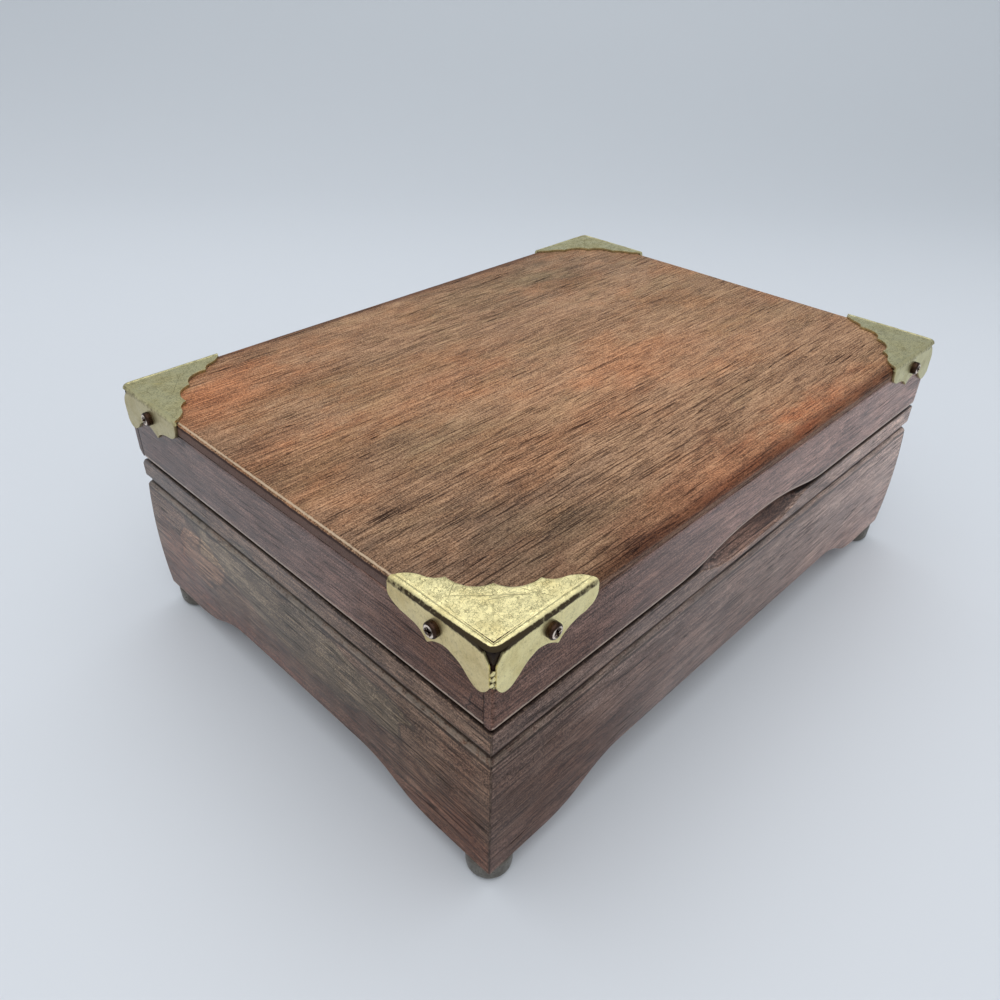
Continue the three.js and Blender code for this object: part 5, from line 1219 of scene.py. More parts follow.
def lid_panel():
    """Lid board as an upper and a lower skin over one grid, each brought in by a quarter round towards the
    edges, with a wall round them; the front arris is rubbed rounder beside the near corner cap."""
    x = rounded_spacing(HALF_LENGTH, PANEL_END_RADIUS, 190, 9)
    y = rounded_spacing(HALF_DEPTH, 2.2, 140, 12)
    grid_x, grid_y = np.meshgrid(x, y, indexing="ij")
    front_radius = 2.0 + 0.6 * np.exp(-(((grid_x + HALF_LENGTH - 37) / 6.0) ** 2))
    radius_y = np.where(grid_y < 0, front_radius, 1.0)

    def let_down(distance, radius):
        inside = np.clip(distance - radius, -radius, 0)
        return radius - np.sqrt(np.maximum(radius**2 - inside**2, 0))

    to_end = HALF_LENGTH - np.abs(grid_x)
    to_side = HALF_DEPTH - np.abs(grid_y)
    upper = BOX_TOP - np.maximum(let_down(to_end, PANEL_END_RADIUS), let_down(to_side, radius_y))
    lower = LID_RAIL_TOP + 0.02 + np.maximum(let_down(to_end, 0.5), let_down(to_side, 0.5))
    lower = np.minimum(lower, upper - 0.6)
    flat = np.stack([grid_x, grid_y, upper], -1)
    upper = upper - 0.03 - 0.03 * waves(flat * np.array([0.4, 1, 1]), 71, 45.0)
    top = np.stack([grid_x, grid_y, upper], -1)
    bottom = np.stack([grid_x, grid_y, lower], -1)
    drop = BOX_TOP - upper
    # Pale line along the end arrises: rub wear together with a painted highlight where the edge turns.
    end_arris_wear_and_highlight = np.where(to_end < to_side, 1.05, 0.0) * np.exp(-(((drop - 0.36) / 0.2) ** 2))
    parts, wears = [surface(top), surface(bottom)], [end_arris_wear_and_highlight, 0 * end_arris_wear_and_highlight]
    for rim in ((0, slice(None)), (-1, slice(None)), (slice(None), 0), (slice(None), -1)):
        wall = np.stack([top[rim], bottom[rim]])
        parts.append(surface(wall))
        wears.append(np.zeros(wall.shape[:2]))
    make_piece("lid_panel_board", parts, TOP_WOOD, "lid", ["lid_panel"], tag=wears)


# Corner caps

CAP_LEG = 30.0
CAP_TOP = 0.85
CAP_BEND = 1.3
CAP_START = CAP_BEND - CAP_TOP
CAP_CORNER = 1.1
CAP_LIP = CAP_BEND * math.radians(76.0)
CAP_HOLE_END = 3.3
CAP_SEAM = 0.3
CAP_CUSPS = (13.2, 21.5, 24.8)


def cap_plan_outline(along):
    """Inner edge of the top plate: distance from the leg's edge, from three joined curves with two cusps."""
    first, second, third = CAP_CUSPS
    middle = cubic((first, first), (14.0, 8.6), (18.5, 7.2), (second, 7.6), 40)
    waist = quadratic((second, 7.6), (22.4, 5.2), (third, 4.5), 20)
    end = quadratic((third, 4.5), (28.6, 3.6), (CAP_LEG, -CAP_TOP), 30)
    curve = chain(middle, waist, end)
    return np.interp(along, curve[:, 0], curve[:, 1])


def cap_side_outline(along):
    """Lower edge of a flange: depth below the wood's top, from lobe, hollow, cusp, waist and rounded end."""
    curve = chain(
        quadratic((0.3, 9.4), (0.5, 10.4), (1.6, 11.3), 10),
        quadratic((1.6, 11.3), (3.6, 12.9), (6.6, 9.9), 24),
        quadratic((6.6, 9.9), (9.4, 6.9), (12.4, 6.8), 18),
        quadratic((12.4, 6.8), (15.6, 6.9), (18.0, 9.3), 18),
        quadratic((18.0, 9.3), (19.4, 6.2), (26.0, 5.8), 26),
        quadratic((26.0, 5.8), (30.4, 4.8), (30.0, 1.5), 30),
    )
    return np.interp(along, np.maximum.accumulate(curve[:, 0]), curve[:, 1])


def cap_bend(along, developed):
    """Folds the flat sheet: flat before the bend, round an arc of radius CAP_BEND, straight down after it."""
    quarter = CAP_BEND * math.pi / 2
    angle = np.clip(developed / CAP_BEND, 0, math.pi / 2)
    across = CAP_START - np.minimum(developed, 0) - CAP_BEND * np.sin(angle)
    height = CAP_TOP - CAP_BEND * (1 - np.cos(angle)) - np.maximum(developed - quarter, 0)
    return np.stack([along + 0 * across, across, height], -1)


def depth_to_developed(depth):
    """Distance along the folded sheet at which a flange is this deep below the wood's top."""
    return CAP_BEND * math.pi / 2 + depth - CAP_START


def cap_surfaces():
    """Outer skin of half a cap as two grids: plate with bend and rounded corner, and flange from the bend or
    corner opening down. Both share their columns, which are closest at the cusps of the outline."""
    corner_start = CAP_START + CAP_CORNER
    stops = (corner_start, CAP_HOLE_END, CAP_CUSPS[0], 15.2, CAP_CUSPS[1], CAP_CUSPS[2], 28.6, CAP_LEG)
    counts = (9, 26, 14, 18, 14, 14, 14)
    columns = chain(*(np.linspace(a, b, count) for a, b, count in zip(stops, stops[1:], counts)))
    inner = np.where(columns <= CAP_CUSPS[0], columns, cap_plan_outline(columns))
    start = np.where(inner >= CAP_START, CAP_START - inner,
                     CAP_BEND * np.arcsin(np.clip((CAP_START - inner) / CAP_BEND, 0, 1)))
    middle = np.maximum(CAP_LIP, start)
    share = 1 - (1 - np.linspace(0, 1, 25)[:, None]) ** 2
    flat = start + (np.minimum(0, middle) - start) * share
    flat = np.where(start > 0, start + 0 * share, flat)
    turn = np.linspace(0, 1, 10)[1:, None]
    low = np.maximum(start, 0)
    bend = low + (middle - low) * turn
    developed = np.concatenate([flat, bend])
    plate = cap_bend(columns + 0 * developed, developed)
    angle = np.radians(np.linspace(-90, -135, 7))[None]
    run = np.concatenate([share * CAP_CORNER, CAP_CORNER + CAP_BEND * np.sin(turn * CAP_LIP / CAP_BEND)])
    drop = np.concatenate([0 * share, CAP_BEND * (1 - np.cos(turn * CAP_LIP / CAP_BEND))])
    round_x, round_y = corner_start + run * np.cos(angle), corner_start + run * np.sin(angle)
    corner = np.stack([round_x, round_y, CAP_TOP - drop + 0 * angle], -1)
    plate = np.concatenate([corner[:, ::-1][:, :-1], plate], 1)
    sides = np.concatenate([np.linspace(CAP_SEAM, corner_start, 7)[:-1], columns])
    hole_swing, hole_end = (0.9, depth_to_developed(2.2)), (CAP_SEAM, depth_to_developed(5.0))
    hole = quadratic((CAP_HOLE_END, CAP_LIP), hole_swing, hole_end, 40)
    upper = np.where(sides >= CAP_HOLE_END, np.concatenate([np.full(6, CAP_LIP), middle]),
                     np.interp(sides, hole[::-1, 0], hole[::-1, 1]))
    lower = np.maximum(depth_to_developed(cap_side_outline(sides)), upper + 0.01)
    rows = np.linspace(0, 1, 22)[:, None]
    flange = cap_bend(sides + 0 * rows, upper + (lower - upper) * rows)
    return plate, flange


def cap_relief(points, seed):
    """Marks of stamping and use: a shallow raised field inside the fold, and gentle dents all over."""
    x, y, z = points[..., 0], points[..., 1], points[..., 2]
    to_edge = np.minimum(x, y)
    on_top = smooth_step(z, 0.55, 0.8)
    fade = 0.5 + 0.5 * np.exp(-np.maximum(x, y) / 12.0)
    field = -0.2 * fade * (1.0 - smooth_step(to_edge, 1.05, 1.35)) * smooth_step(to_edge, 0.45, 0.95)
    dents = waves(points, seed, 11.0, 12)
    moved = points.copy()
    moved[..., 2] += on_top * (field + 0.05 * dents)
    side = (1 - on_top) * smooth_step(-z, 0.5, 3.0)
    lift = 0.09 * waves(points, seed + 1, 13.0, 10) + 0.06
    front = (y < -0.6).astype(float) * side
    moved[..., 1] -= front * np.maximum(lift, -0.02)
    return moved


def cap_wear(points, tarnish_and_dark_reflection):
    """Wear for the brass: 1 on the scratched plate, 0 on the flanges and below 0 over the fold and its
    crease, most of all beside the corner; the brass paints that nearly black, as tarnished brass with a
    painted dark reflection on the fold and painted shade along the crease."""
    to_edge = np.minimum(points[..., 0], points[..., 1])
    fold = np.degrees(np.arccos(np.clip(1 - (CAP_TOP - points[..., 2]) / CAP_BEND, 0, 1)))
    along = np.maximum(points[..., 0], points[..., 1])
    reach = 0.9 + 1.6 * np.exp(-along / 4.0)
    begin = 34 - 16 * np.exp(-np.maximum(along - 1.5, 0) / 5.0)
    # The fold's negative wear is tarnished brass together with a painted dark reflection.
    on_fold = smooth_step(fold, begin, begin + 16) * (1 - smooth_step(-points[..., 2], 0.45, reach))
    strength = 0.8 + 0.7 * np.exp(-along / 6.0) - 0.3 * smooth_step(along, 22, 30)
    top = 1 - smooth_step(fold, 4, 20)
    # The crease's negative wear is painted shade along the stamped crease.
    crease = np.exp(-(((to_edge - 1.15) / 0.15) ** 2)) * (0.7 + 0.9 * np.exp(-along / 14.0))
    return top * (1 - 1.5 * crease * (0.3 + 0.7 * tarnish_and_dark_reflection)) - on_fold * strength * tarnish_and_dark_reflection


def cap_crumple(quarters):
    """Sheet left over at the corner, crushed into three loops: a strip bent round the corner whose distance
    from the edge swells and pinches with height, radius = 0.35 + 0.42 lobe with lobe = |sin(3 pi height)|^0.6
    and a little twist. Gives the strip's points and their wear, which is less dark on the loops."""
    height = np.linspace(0, 1, 60)[:, None]
    swing = np.radians(np.linspace(175, 275, 19))[None]
    lobe = np.abs(np.sin(3 * math.pi * height + 0.35 * np.sin(3 * (swing - 3.9)) + 0.25)) ** 0.6
    radius = 0.35 + 0.42 * lobe
    turn = swing + 0.16 * np.sin(9 * height + 2.0)
    x, y = 0.33 + radius * np.cos(turn), 0.33 + radius * np.sin(turn)
    points = np.stack([x, y, -(5.1 + 4.6 * height) + 0 * swing], -1)
    return quarter_turned(points, quarters), 1.3 * lobe - 1.4 + 0.35 * np.sin(5 * swing + 11 * height)


def corner_caps():
    """Each cap is both halves of the outer skin, given its sheet thickness inwards and a fine rounded rim,
    with the crushed loops as a strip of their own."""
    for index, (corner, sign_x, sign_y, quarters, _) in enumerate(CORNERS):
        origin = np.array([sign_x * HALF_LENGTH, sign_y * HALF_DEPTH, BOX_TOP])
        parts, wears = [], []
        for swap in (False, True):
            for grid in cap_surfaces():
                wears.append(cap_wear(grid, 1.0 if corner == "front_left" else 0.3))
                grid = cap_relief(grid, 101 + 10 * index + 3 * swap)
                if swap:
                    grid = grid[..., [1, 0, 2]]
                parts.append(surface(quarter_turned(grid, quarters) + origin))
        piece = make_piece(f"cap_{corner}_sheet", parts, CAP_BRASS, "lid", [f"cap_{corner}"],
                           crease=50, tag=wears)
        crumple, crumple_wear = cap_crumple(quarters)
        fold = make_piece(f"cap_{corner}_crumple", [surface(crumple + origin)], CAP_BRASS, "lid", (),
                          tag=[crumple_wear])
        thick = fold.modifiers.new("sheet", "SOLIDIFY")
        thick.thickness = 0.3 * MM
        thick.offset = 0.0
        middle = np.array([c.co for c in piece.data.vertices]).mean(0)
        normals = np.array([p.normal for p in piece.data.polygons])
        centres = np.array([p.center for p in piece.data.polygons])
        if np.einsum("ij,ij->i", normals, centres - middle).mean() < 0:
            piece.data.flip_normals()
        wall = piece.modifiers.new("sheet", "SOLIDIFY")
        wall.thickness = 0.78 * MM
        wall.offset = -1.0
        wall.use_even_offset = True
        rim = piece.modifiers.new("rim", "BEVEL")
        rim.width = 0.12 * MM
        rim.segments = 2
        rim.limit_method = "ANGLE"
        rim.angle_limit = math.radians(55)


def screw_head(radius, height, cross_half_width, cross_half_length, cross_depth):
    """Pan head over a polar grid: flat seat, rounded shoulder and a crowned face with a cross recess sunk by
    two overlapping slots; the wear marks a ring on the face, brighter on one side, and the recess's edge, as
    rub wear together with painted highlights."""
    ring = np.concatenate([np.linspace(0, 0.9, 30), [0.94, 0.97, 0.99, 1.0]]) * radius
    angle = np.radians(np.linspace(0, 360, 96, endpoint=False))
    grid_r, grid_a = np.meshgrid(ring, angle, indexing="ij")
    x, y = grid_r * np.cos(grid_a), grid_r * np.sin(grid_a)
    edge = np.clip((grid_r / radius - 0.55) / 0.45, 0, 1)
    crown = height - 0.42 * height * (1 - np.sqrt(np.maximum(1 - edge**2, 0)))
    soft = 0.06

    def slot(a, b):
        wide = 1 - smooth_step(np.abs(a), cross_half_width - soft, cross_half_width + soft)
        long = 1 - smooth_step(np.abs(b), cross_half_length - 2 * soft, cross_half_length)
        return wide * long * (1 - 0.45 * np.abs(b) / cross_half_length)

    sunk = np.maximum(slot(x, y), slot(y, x))
    face = np.stack([x, y, crown - cross_depth * sunk], -1)
    wall_z = np.linspace(crown[-1, 0], 0, 6)[1:, None]
    wall = np.stack([x[-1] + 0 * wall_z, y[-1] + 0 * wall_z, wall_z + 0 * angle], -1)
    seat = np.zeros((1, len(angle), 3))
    points = np.concatenate([face, wall, seat])
    # Painted highlights with rub wear: a ring on the face, brighter on one side, and a glint along the
    # recess's edge.
    rub_and_highlight_ring = 0.95 * np.exp(-(((grid_r / radius - 0.66) / 0.13) ** 2)) * (1 - np.minimum(sunk * 2.5, 1))
    recess_edge_glint = 0.9 * np.exp(-(((sunk - 0.12) / 0.1) ** 2)) * (grid_r < 0.8 * radius)
    rub = rub_and_highlight_ring * (0.6 + 0.4 * np.sin(2 * grid_a + 2.0)) + recess_edge_glint
    wear = np.concatenate([rub, np.zeros((len(wall_z) + 1, len(angle)))])
    return points, wear


def cap_screws():
    """Two pan-head screws in each cap, their faces out along the box's length and depth."""
    reach = CAP_TOP + 0.02
    points, wear = screw_head(1.95, 1.7, 0.3, 1.15, 0.75)
    for corner, sign_x, sign_y, _, screw_turn in CORNERS:
        for kind in ("end", "face"):
            turn = screw_turn + (kind == "end")
            c, s = math.cos(turn), math.sin(turn)
            x, z = points[..., 0] * c - points[..., 1] * s, points[..., 2]
            y = points[..., 0] * s + points[..., 1] * c
            if kind == "end":
                along, deep = HALF_LENGTH + reach + z, HALF_DEPTH - CAP_SCREW_INSET + sign_y * x
            else:
                along, deep = HALF_LENGTH - CAP_SCREW_INSET + sign_x * x, HALF_DEPTH + reach + z
            placed = np.stack([sign_x * along, sign_y * deep, BOX_TOP - CAP_SCREW_DROP + y], -1)
            node = f"cap_screw_{corner}_{kind}"
            make_piece(f"{node}_head", [surface(placed, close_columns=True)], SCREW, "lid", [node],
                       tag=[wear])


# Feet


def bumper_feet():
    """Moulded bumper: flat rubbed base, rounded side and a small upper edge, turned about its axis."""
    profile = np.concatenate([
        [[0, 0.05], [2.0, 0.02], [3.4, 0.0]], arc(3.85, 1.9, 1.9, -88, 0, 12), arc(5.3, 5.38, 0.6, 4, 90, 6),
        [[3.0, 5.98], [0, 5.98]],
    ])
    front_to_back = sorted(CORNERS, key=lambda row: (row[2], row[1]))
    for corner, sign_x, sign_y, _, _ in front_to_back:
        middle = np.array([sign_x * (HALF_LENGTH - FOOT_INSET), sign_y * (HALF_DEPTH - FOOT_INSET), 0])
        points = lathe(profile, 64) + middle
        make_piece(f"bumper_{corner}", [surface(points, close_rows=True)], BUMPER, "case", [f"foot_{corner}"])


# Trays, padding, mirror and felt


def rounded_loop(half_x, half_y, radius, per_side):
    """Rounded rectangle with the same number of points whatever its size, so that loops stack into a grid."""
    radius = min(radius, half_x, half_y)
    corners = []
    for sign_x, sign_y, start in ((1, 1, 0), (-1, 1, 90), (-1, -1, 180), (1, -1, 270)):
        middle_x, middle_y = sign_x * (half_x - radius), sign_y * (half_y - radius)
        corners.append(arc(middle_x, middle_y, radius, start, start + 90, 9))
    joined = []
    for corner, following in zip(corners, corners[1:] + corners[:1]):
        share = np.linspace(0, 1, per_side + 1)[1:-1, None]
        joined += [corner, corner[-1] + (following[0] - corner[-1]) * share]
    return np.concatenate(joined)


def looped(stack, per_side=24):
    """Loops of (half x, half y, corner radius, height) as a grid of points."""
    rows = []
    for half_x, half_y, radius, height in stack:
        loop = rounded_loop(half_x, half_y, radius, per_side)
        rows.append(np.concatenate([loop, np.full((len(loop), 1), height)], 1))
    return np.stack(rows)


def tray(node, seed):
    """Velvet tray: thin walls with a rolled rim, a tucked corner at the floor and a floor padded like a thin
    cushion, height = 1.3 (1 - e^(-d/3.2)) over the distance d from the wall, with faint dimples."""
    low, high = in_millimetres(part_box(node))
    half = (high - low) / 2
    middle = (low + high) / 2
    floor_low, top = low[2], high[2]
    wall, rim = 1.0, 0.55
    stack = [(0.5, 0.5, 0.4, floor_low), (half[0] * 0.5, half[1] * 0.5, 1.0, floor_low),
             (half[0] - 0.4, half[1] - 0.4, 1.0, floor_low), (half[0], half[1], 1.4, floor_low + 0.5),
             (half[0], half[1], 1.4, top - 8.0), (half[0], half[1], 1.4, top - rim)]
    for degrees in (30, 60, 90, 120, 150, 180):
        a = math.radians(degrees)
        step = rim - rim * math.cos(a)
        stack.append((half[0] - step, half[1] - step, 1.4 + step, top - rim + rim * math.sin(a)))
    inner_x, inner_y = half[0] - wall - 0.1, half[1] - wall - 0.1
    floor = floor_low + 1.0
    for share in np.linspace(0.06, 1.0, 12):
        stack.append((inner_x, inner_y, 2.6, top - rim + (floor + 0.5 - top + rim) * share))
    stack.append((inner_x - 0.12, inner_y - 0.12, 2.5, floor + 0.12))
    for distance in (0.3, 0.7, 1.2, 1.9, 2.8, 4.0, 5.5, 7.5, 10.0, 13.0, 17.0, 21.0, 25.0):
        height = floor + 1.3 * (1 - math.exp(-distance / 3.2))
        stack.append((inner_x - distance, inner_y - distance, max(2.5 - distance * 0.1, 0.4), height))
    last_x, last_y = (max(0.5 * (inner - 25.0), 0.2) for inner in (inner_x, inner_y))
    stack.append((last_x, last_y, 0.2, floor + 1.3))
    stack.append((0.05, 0.05, 0.04, floor + 1.3))
    points = looped(stack)
    on_floor = smooth_step(points[..., 2], floor + 0.5, floor + 1.2) * (points[..., 2] < floor + 1.6)
    rippled = points + middle * np.array([1, 1, 0])
    rippled[..., 2] += on_floor * 0.16 * waves(rippled, seed, 38.0, 8)
    make_piece(f"{node}_tray", [surface(rippled, close_columns=True)], VELVET, "case", [node],
               crease=60)


def lid_padding():
    """Padded velvet border round the mirror: over the share s of the way from the lid's sides to the mirror's
    seat it swells by sin(pi s)^0.6, and near both seams it is drawn into small gathers, which are waves along
    the seam whose spacing wanders."""
    low, high = in_millimetres(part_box("lid_lining"))
    mirror = in_millimetres(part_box("lid_mirror"))[1]
    outer_x, outer_y, top = high
    seat_x, seat_y, face = mirror[0] + 0.1, mirror[1] + 0.1, low[2]
    stack = [(0.5, 0.5, 0.4, top), (outer_x * 0.5, outer_y * 0.5, 1, top),
             (outer_x - 0.3, outer_y - 0.3, 1, top), (outer_x, outer_y, 1.2, top - 0.4)]
    border_start = len(stack)
    for share in np.linspace(0, 1, 30):
        x = outer_x + (seat_x - outer_x) * share
        y = outer_y + (seat_y - outer_y) * share
        swell = math.sin(math.pi * min(max(share, 0.004), 0.996)) ** 0.6
        stack.append((x, y, 1.4 + 1.2 * swell, top - 1.0 - (top - 1.0 - face) * swell))
    border_end = len(stack) - 1
    seat_top = face + 1.7
    stack += [(seat_x, seat_y, 0.6, seat_top), (seat_x * 0.5, seat_y * 0.5, 0.6, seat_top),
              (0.05, 0.05, 0.04, seat_top)]
    points = looped(stack, 120)
    steps = np.linalg.norm(np.diff(points[border_start + 1, :, :2], axis=0), axis=-1)
    run = np.concatenate([[0.0], np.cumsum(steps)])[None]
    rows = np.arange(len(stack))[:, None]
    near_seam = np.exp(-np.abs(rows - border_start - 2) / 4.0) + np.exp(-np.abs(rows - border_end + 2) / 4.0)
    folds = np.sin(run * 0.9 + 1.6 * np.sin(run * 0.13) + 0.8 * np.sin(run * 0.31))
    on_border = (rows > border_start) & (rows < border_end)
    gathered = np.minimum(points[..., 2] + 0.42 * near_seam * folds * on_border, top)
    points[..., 2] = np.where(on_border, np.maximum(gathered, face - 0.05), gathered)
    piece = make_piece("lid_padding", [surface(points, close_columns=True)], VELVET, "lid", ["lid_lining"],
                       crease=60)


def bevelled_mirror():
    """Mirror glass: a flat back and a face with a 5 mm wide polished bevel."""
    low, high = in_millimetres(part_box("lid_mirror"))
    x, y = high[0], high[1]
    stack = [(0.05, 0.05, 0.02, high[2]), (x - 0.2, y - 0.2, 0.3, high[2]), (x, y, 0.5, high[2] - 0.2),
             (x, y, 0.5, low[2] + 0.9), (x - 5.0, y - 5.0, 0.3, low[2]), (0.05, 0.05, 0.02, low[2])]
    glass = surface(looped(stack), close_columns=True)
    make_piece("lid_mirror_glass", [glass], MIRROR, "lid", ["lid_mirror"], crease=3)


def felt_pads():
    """Die-cut felt discs with soft, slightly ragged edges."""
    for side in ("left", "right"):
        node = f"rim_pad_{side}"
        low, high = in_millimetres(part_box(node))
        middle = (low + high) / 2
        radius, thick = (high[0] - low[0]) / 2, high[2] - low[2]
        profile = np.concatenate([
            [[0, 0], [radius * 0.6, 0]], arc(radius - 0.3, 0.3, 0.3, -90, 0, 4),
            arc(radius - 0.45, thick - 0.45, 0.45, 0, 90, 6), [[radius * 0.5, thick], [0, thick]],
        ])
        points = lathe(profile, 56)
        out = np.linalg.norm(points[..., :2], axis=-1)
        ragged = 1 - 0.02 * (1 + waves(points, 211, 1.6, 8)) * (out > radius * 0.5)
        points[..., :2] *= ragged[..., None]
        points += np.array([middle[0], middle[1], low[2]])
        make_piece(f"{node}_felt", [surface(points, close_rows=True)], FELT, "case", [node])


# Movement

DRUM_Y, DRUM_Z, DRUM_RADIUS = 40.0, 38.52, 6.5
DRUM_START, DRUM_END = -61.4, -43.4
COMB_PITCH, COMB_FIRST, COMB_TEETH = 0.972, -61.15, 18
WORM_X, WORM_Y, WORM_Z = -40.2, 53.084, 32.73
BARREL_X, BARREL_Y = -74.5, 40.0
COMB_SCREW_Y, COMB_SCREW_TOP, COMB_SCREW_SEAT = 19.2, 39.79, 38.47


def pinned_drum():
    """Drum with rolled ends and a short pin at each note: 8 to 13 pins for each tooth at places drawn with a
    fixed seed, none within 12 degrees of the comb, which stands at 180 degrees."""
    half = [(DRUM_START, 1.1), (DRUM_START, 5.6), (DRUM_START + 0.35, 5.9), (DRUM_START + 0.35, 6.25),
            (DRUM_START + 0.6, DRUM_RADIUS)]
    profile = np.array(half + [(DRUM_START + DRUM_END - along, radius) for along, radius in half[::-1]])
    angle = np.linspace(0, 2 * math.pi, 97)[:-1, None]
    along, radius = profile[None, :, 0], profile[None, :, 1]
    y, z = DRUM_Y + radius * np.cos(angle), DRUM_Z + radius * np.sin(angle)
    parts = [surface(np.stack([along + 0 * angle, y, z], -1), close_rows=True, close_columns=True)]
    draw = np.random.default_rng(20)
    ring = np.linspace(0, 2 * math.pi, 7)[:-1, None]
    for tooth in range(COMB_TEETH):
        x = COMB_FIRST + 0.35 + tooth * COMB_PITCH
        places = np.sort(draw.uniform(12, 348, draw.integers(8, 14)))
        for turn in np.radians(180 + places):
            out = np.array([0, math.cos(turn), math.sin(turn)])
            side = np.array([0, -math.sin(turn), math.cos(turn)])
            circle = np.cos(ring) * np.array([1.0, 0, 0]) + np.sin(ring) * side
            rows = []
            for radius, height in ((0.17, -0.3), (0.17, 0.2), (0.12, 0.26), (0.005, 0.27)):
                rows.append(np.array([x, DRUM_Y, DRUM_Z]) + out * (DRUM_RADIUS + height) + radius * circle)
            parts.append(closed_sweep(np.stack(rows)))
    make_piece("drum_pinned", parts, PART_BRASS, "drum_set", ["drum"], crease=30)


def fly_worm():
    """Three-start right-handed worm on the fly's arbor: radius = 0.68 + fade (0.42 + 0.36 tanh(2.2 cos(w)))
    with w = 3 angle - 3 * 2 pi z / lead; the thread fades out over the last 0.7 mm at each end."""
    half_length, lead = 3.2, 3.958
    height = np.linspace(-half_length, half_length, 90)[:, None]
    angle = np.linspace(0, 2 * math.pi, 49)[:-1][None]
    fade = smooth_step(half_length - np.abs(height), 0.0, 0.7)
    wave = np.cos(3 * angle - 2 * math.pi * 3 * height / lead)
    radius = 0.68 + fade * (0.42 + 0.36 * np.tanh(2.2 * wave))
    x, y = WORM_X + radius * np.cos(angle), WORM_Y + radius * np.sin(angle)
    points = np.stack([x, y, WORM_Z + height + 0 * angle], -1)
    make_piece("fly_worm", [closed_sweep(points)], STEEL, "fly_set", (), crease=50)


def wound_spring():
    """Mainspring ribbon over seven turns: radius = inner + (outer - inner) share^0.9 of the way outwards."""
    low, high = in_millimetres(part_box("mainspring"))
    turns, inner, outer, half = 7.0, 2.35, 8.1, 0.15
    angle = np.linspace(0, 2 * math.pi * turns, int(turns * 72))
    radius = inner + (outer - inner) * (angle / angle[-1]) ** 0.9
    z_low, z_high = low[2] + 0.02, high[2] - 0.02
    lower = [(-half, z_low + 0.1), (0, z_low), (half, z_low + 0.1)]
    upper = [(half, z_high - 0.1), (0, z_high), (-half, z_high - 0.1)]
    rows = []
    for offset, z in lower + upper:
        r = radius + offset
        rows.append(np.stack([BARREL_X + r * np.cos(angle), BARREL_Y + r * np.sin(angle), z + 0 * angle], -1))
    make_piece("mainspring_ribbon", [closed_sweep(np.stack(rows, 1))], STEEL, "barrel_set", ["mainspring"],
               crease=40)


def slotted_screws():
    """Cheese-head comb screws with a straight slot."""
    ring = np.concatenate([np.linspace(0, 1.7, 30), [1.8, 1.87, 1.9]])
    angle = np.radians(np.linspace(0, 360, 72, endpoint=False))
    grid_r, grid_a = np.meshgrid(ring, angle, indexing="ij")
    for number, x in ((1, -59.0), (2, -45.8)):
        turn = 0.5 * number
        across, along = grid_r * np.cos(grid_a + turn), grid_r * np.sin(grid_a + turn)
        slot = 0.6 * (1 - smooth_step(np.abs(along), 0.2, 0.28))
        crown = COMB_SCREW_TOP - 0.12 * smooth_step(grid_r, 1.3, 1.9) - slot
        rows = [np.stack([x + across, COMB_SCREW_Y + along, crown], -1)]
        rim = rows[0][-1]
        for z in (39.3, 38.9, COMB_SCREW_SEAT):
            rows.append(np.stack([rim[:, 0], rim[:, 1], np.minimum(rim[:, 2], z)], -1)[None])
        for r, z in ((1.0, COMB_SCREW_SEAT), (1.0, 36.3), (0.5, 35.9), (0.0, 35.9)):
            round_x, round_y = x + r * np.cos(angle + turn), COMB_SCREW_Y + r * np.sin(angle + turn)
            rows.append(np.stack([round_x, round_y, z + 0 * angle], -1)[None])
        screw = surface(np.concatenate(rows), close_columns=True)
        make_piece(f"comb_screw_{number}_head", [screw], PART_BRASS, "case", [f"comb_screw_{number}"],
                   crease=35)


def refined(node, body, material, width, crease=32.0):
    """A merged copy of a solid with its flat faces made whole and its edges eased by a fine bevel."""
    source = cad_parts[node]
    mesh = source.data.copy()
    mesh.materials.clear()
    work = bmesh.new()
    work.from_mesh(mesh)
    bmesh.ops.remove_doubles(work, verts=work.verts, dist=2e-6)
    bmesh.ops.dissolve_limit(work, angle_limit=math.radians(0.6), verts=work.verts, edges=work.edges)
    work.to_mesh(mesh)
    work.free()
    mesh.polygons.foreach_set("use_smooth", np.ones(len(mesh.polygons), bool))
    mesh.set_sharp_from_angle(angle=math.radians(crease))
    piece = bpy.data.objects.new(f"{node}_finished", mesh)
    bpy.context.scene.collection.objects.link(piece)
    mesh.materials.append(material)
    if width:
        ease = piece.modifiers.new("eased_edges", "BEVEL")
        ease.width = width * MM
        ease.segments = 2
        ease.limit_method = "ANGLE"
        ease.angle_limit = math.radians(crease)
        ease.harden_normals = True
    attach(piece, body)
    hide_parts(node)


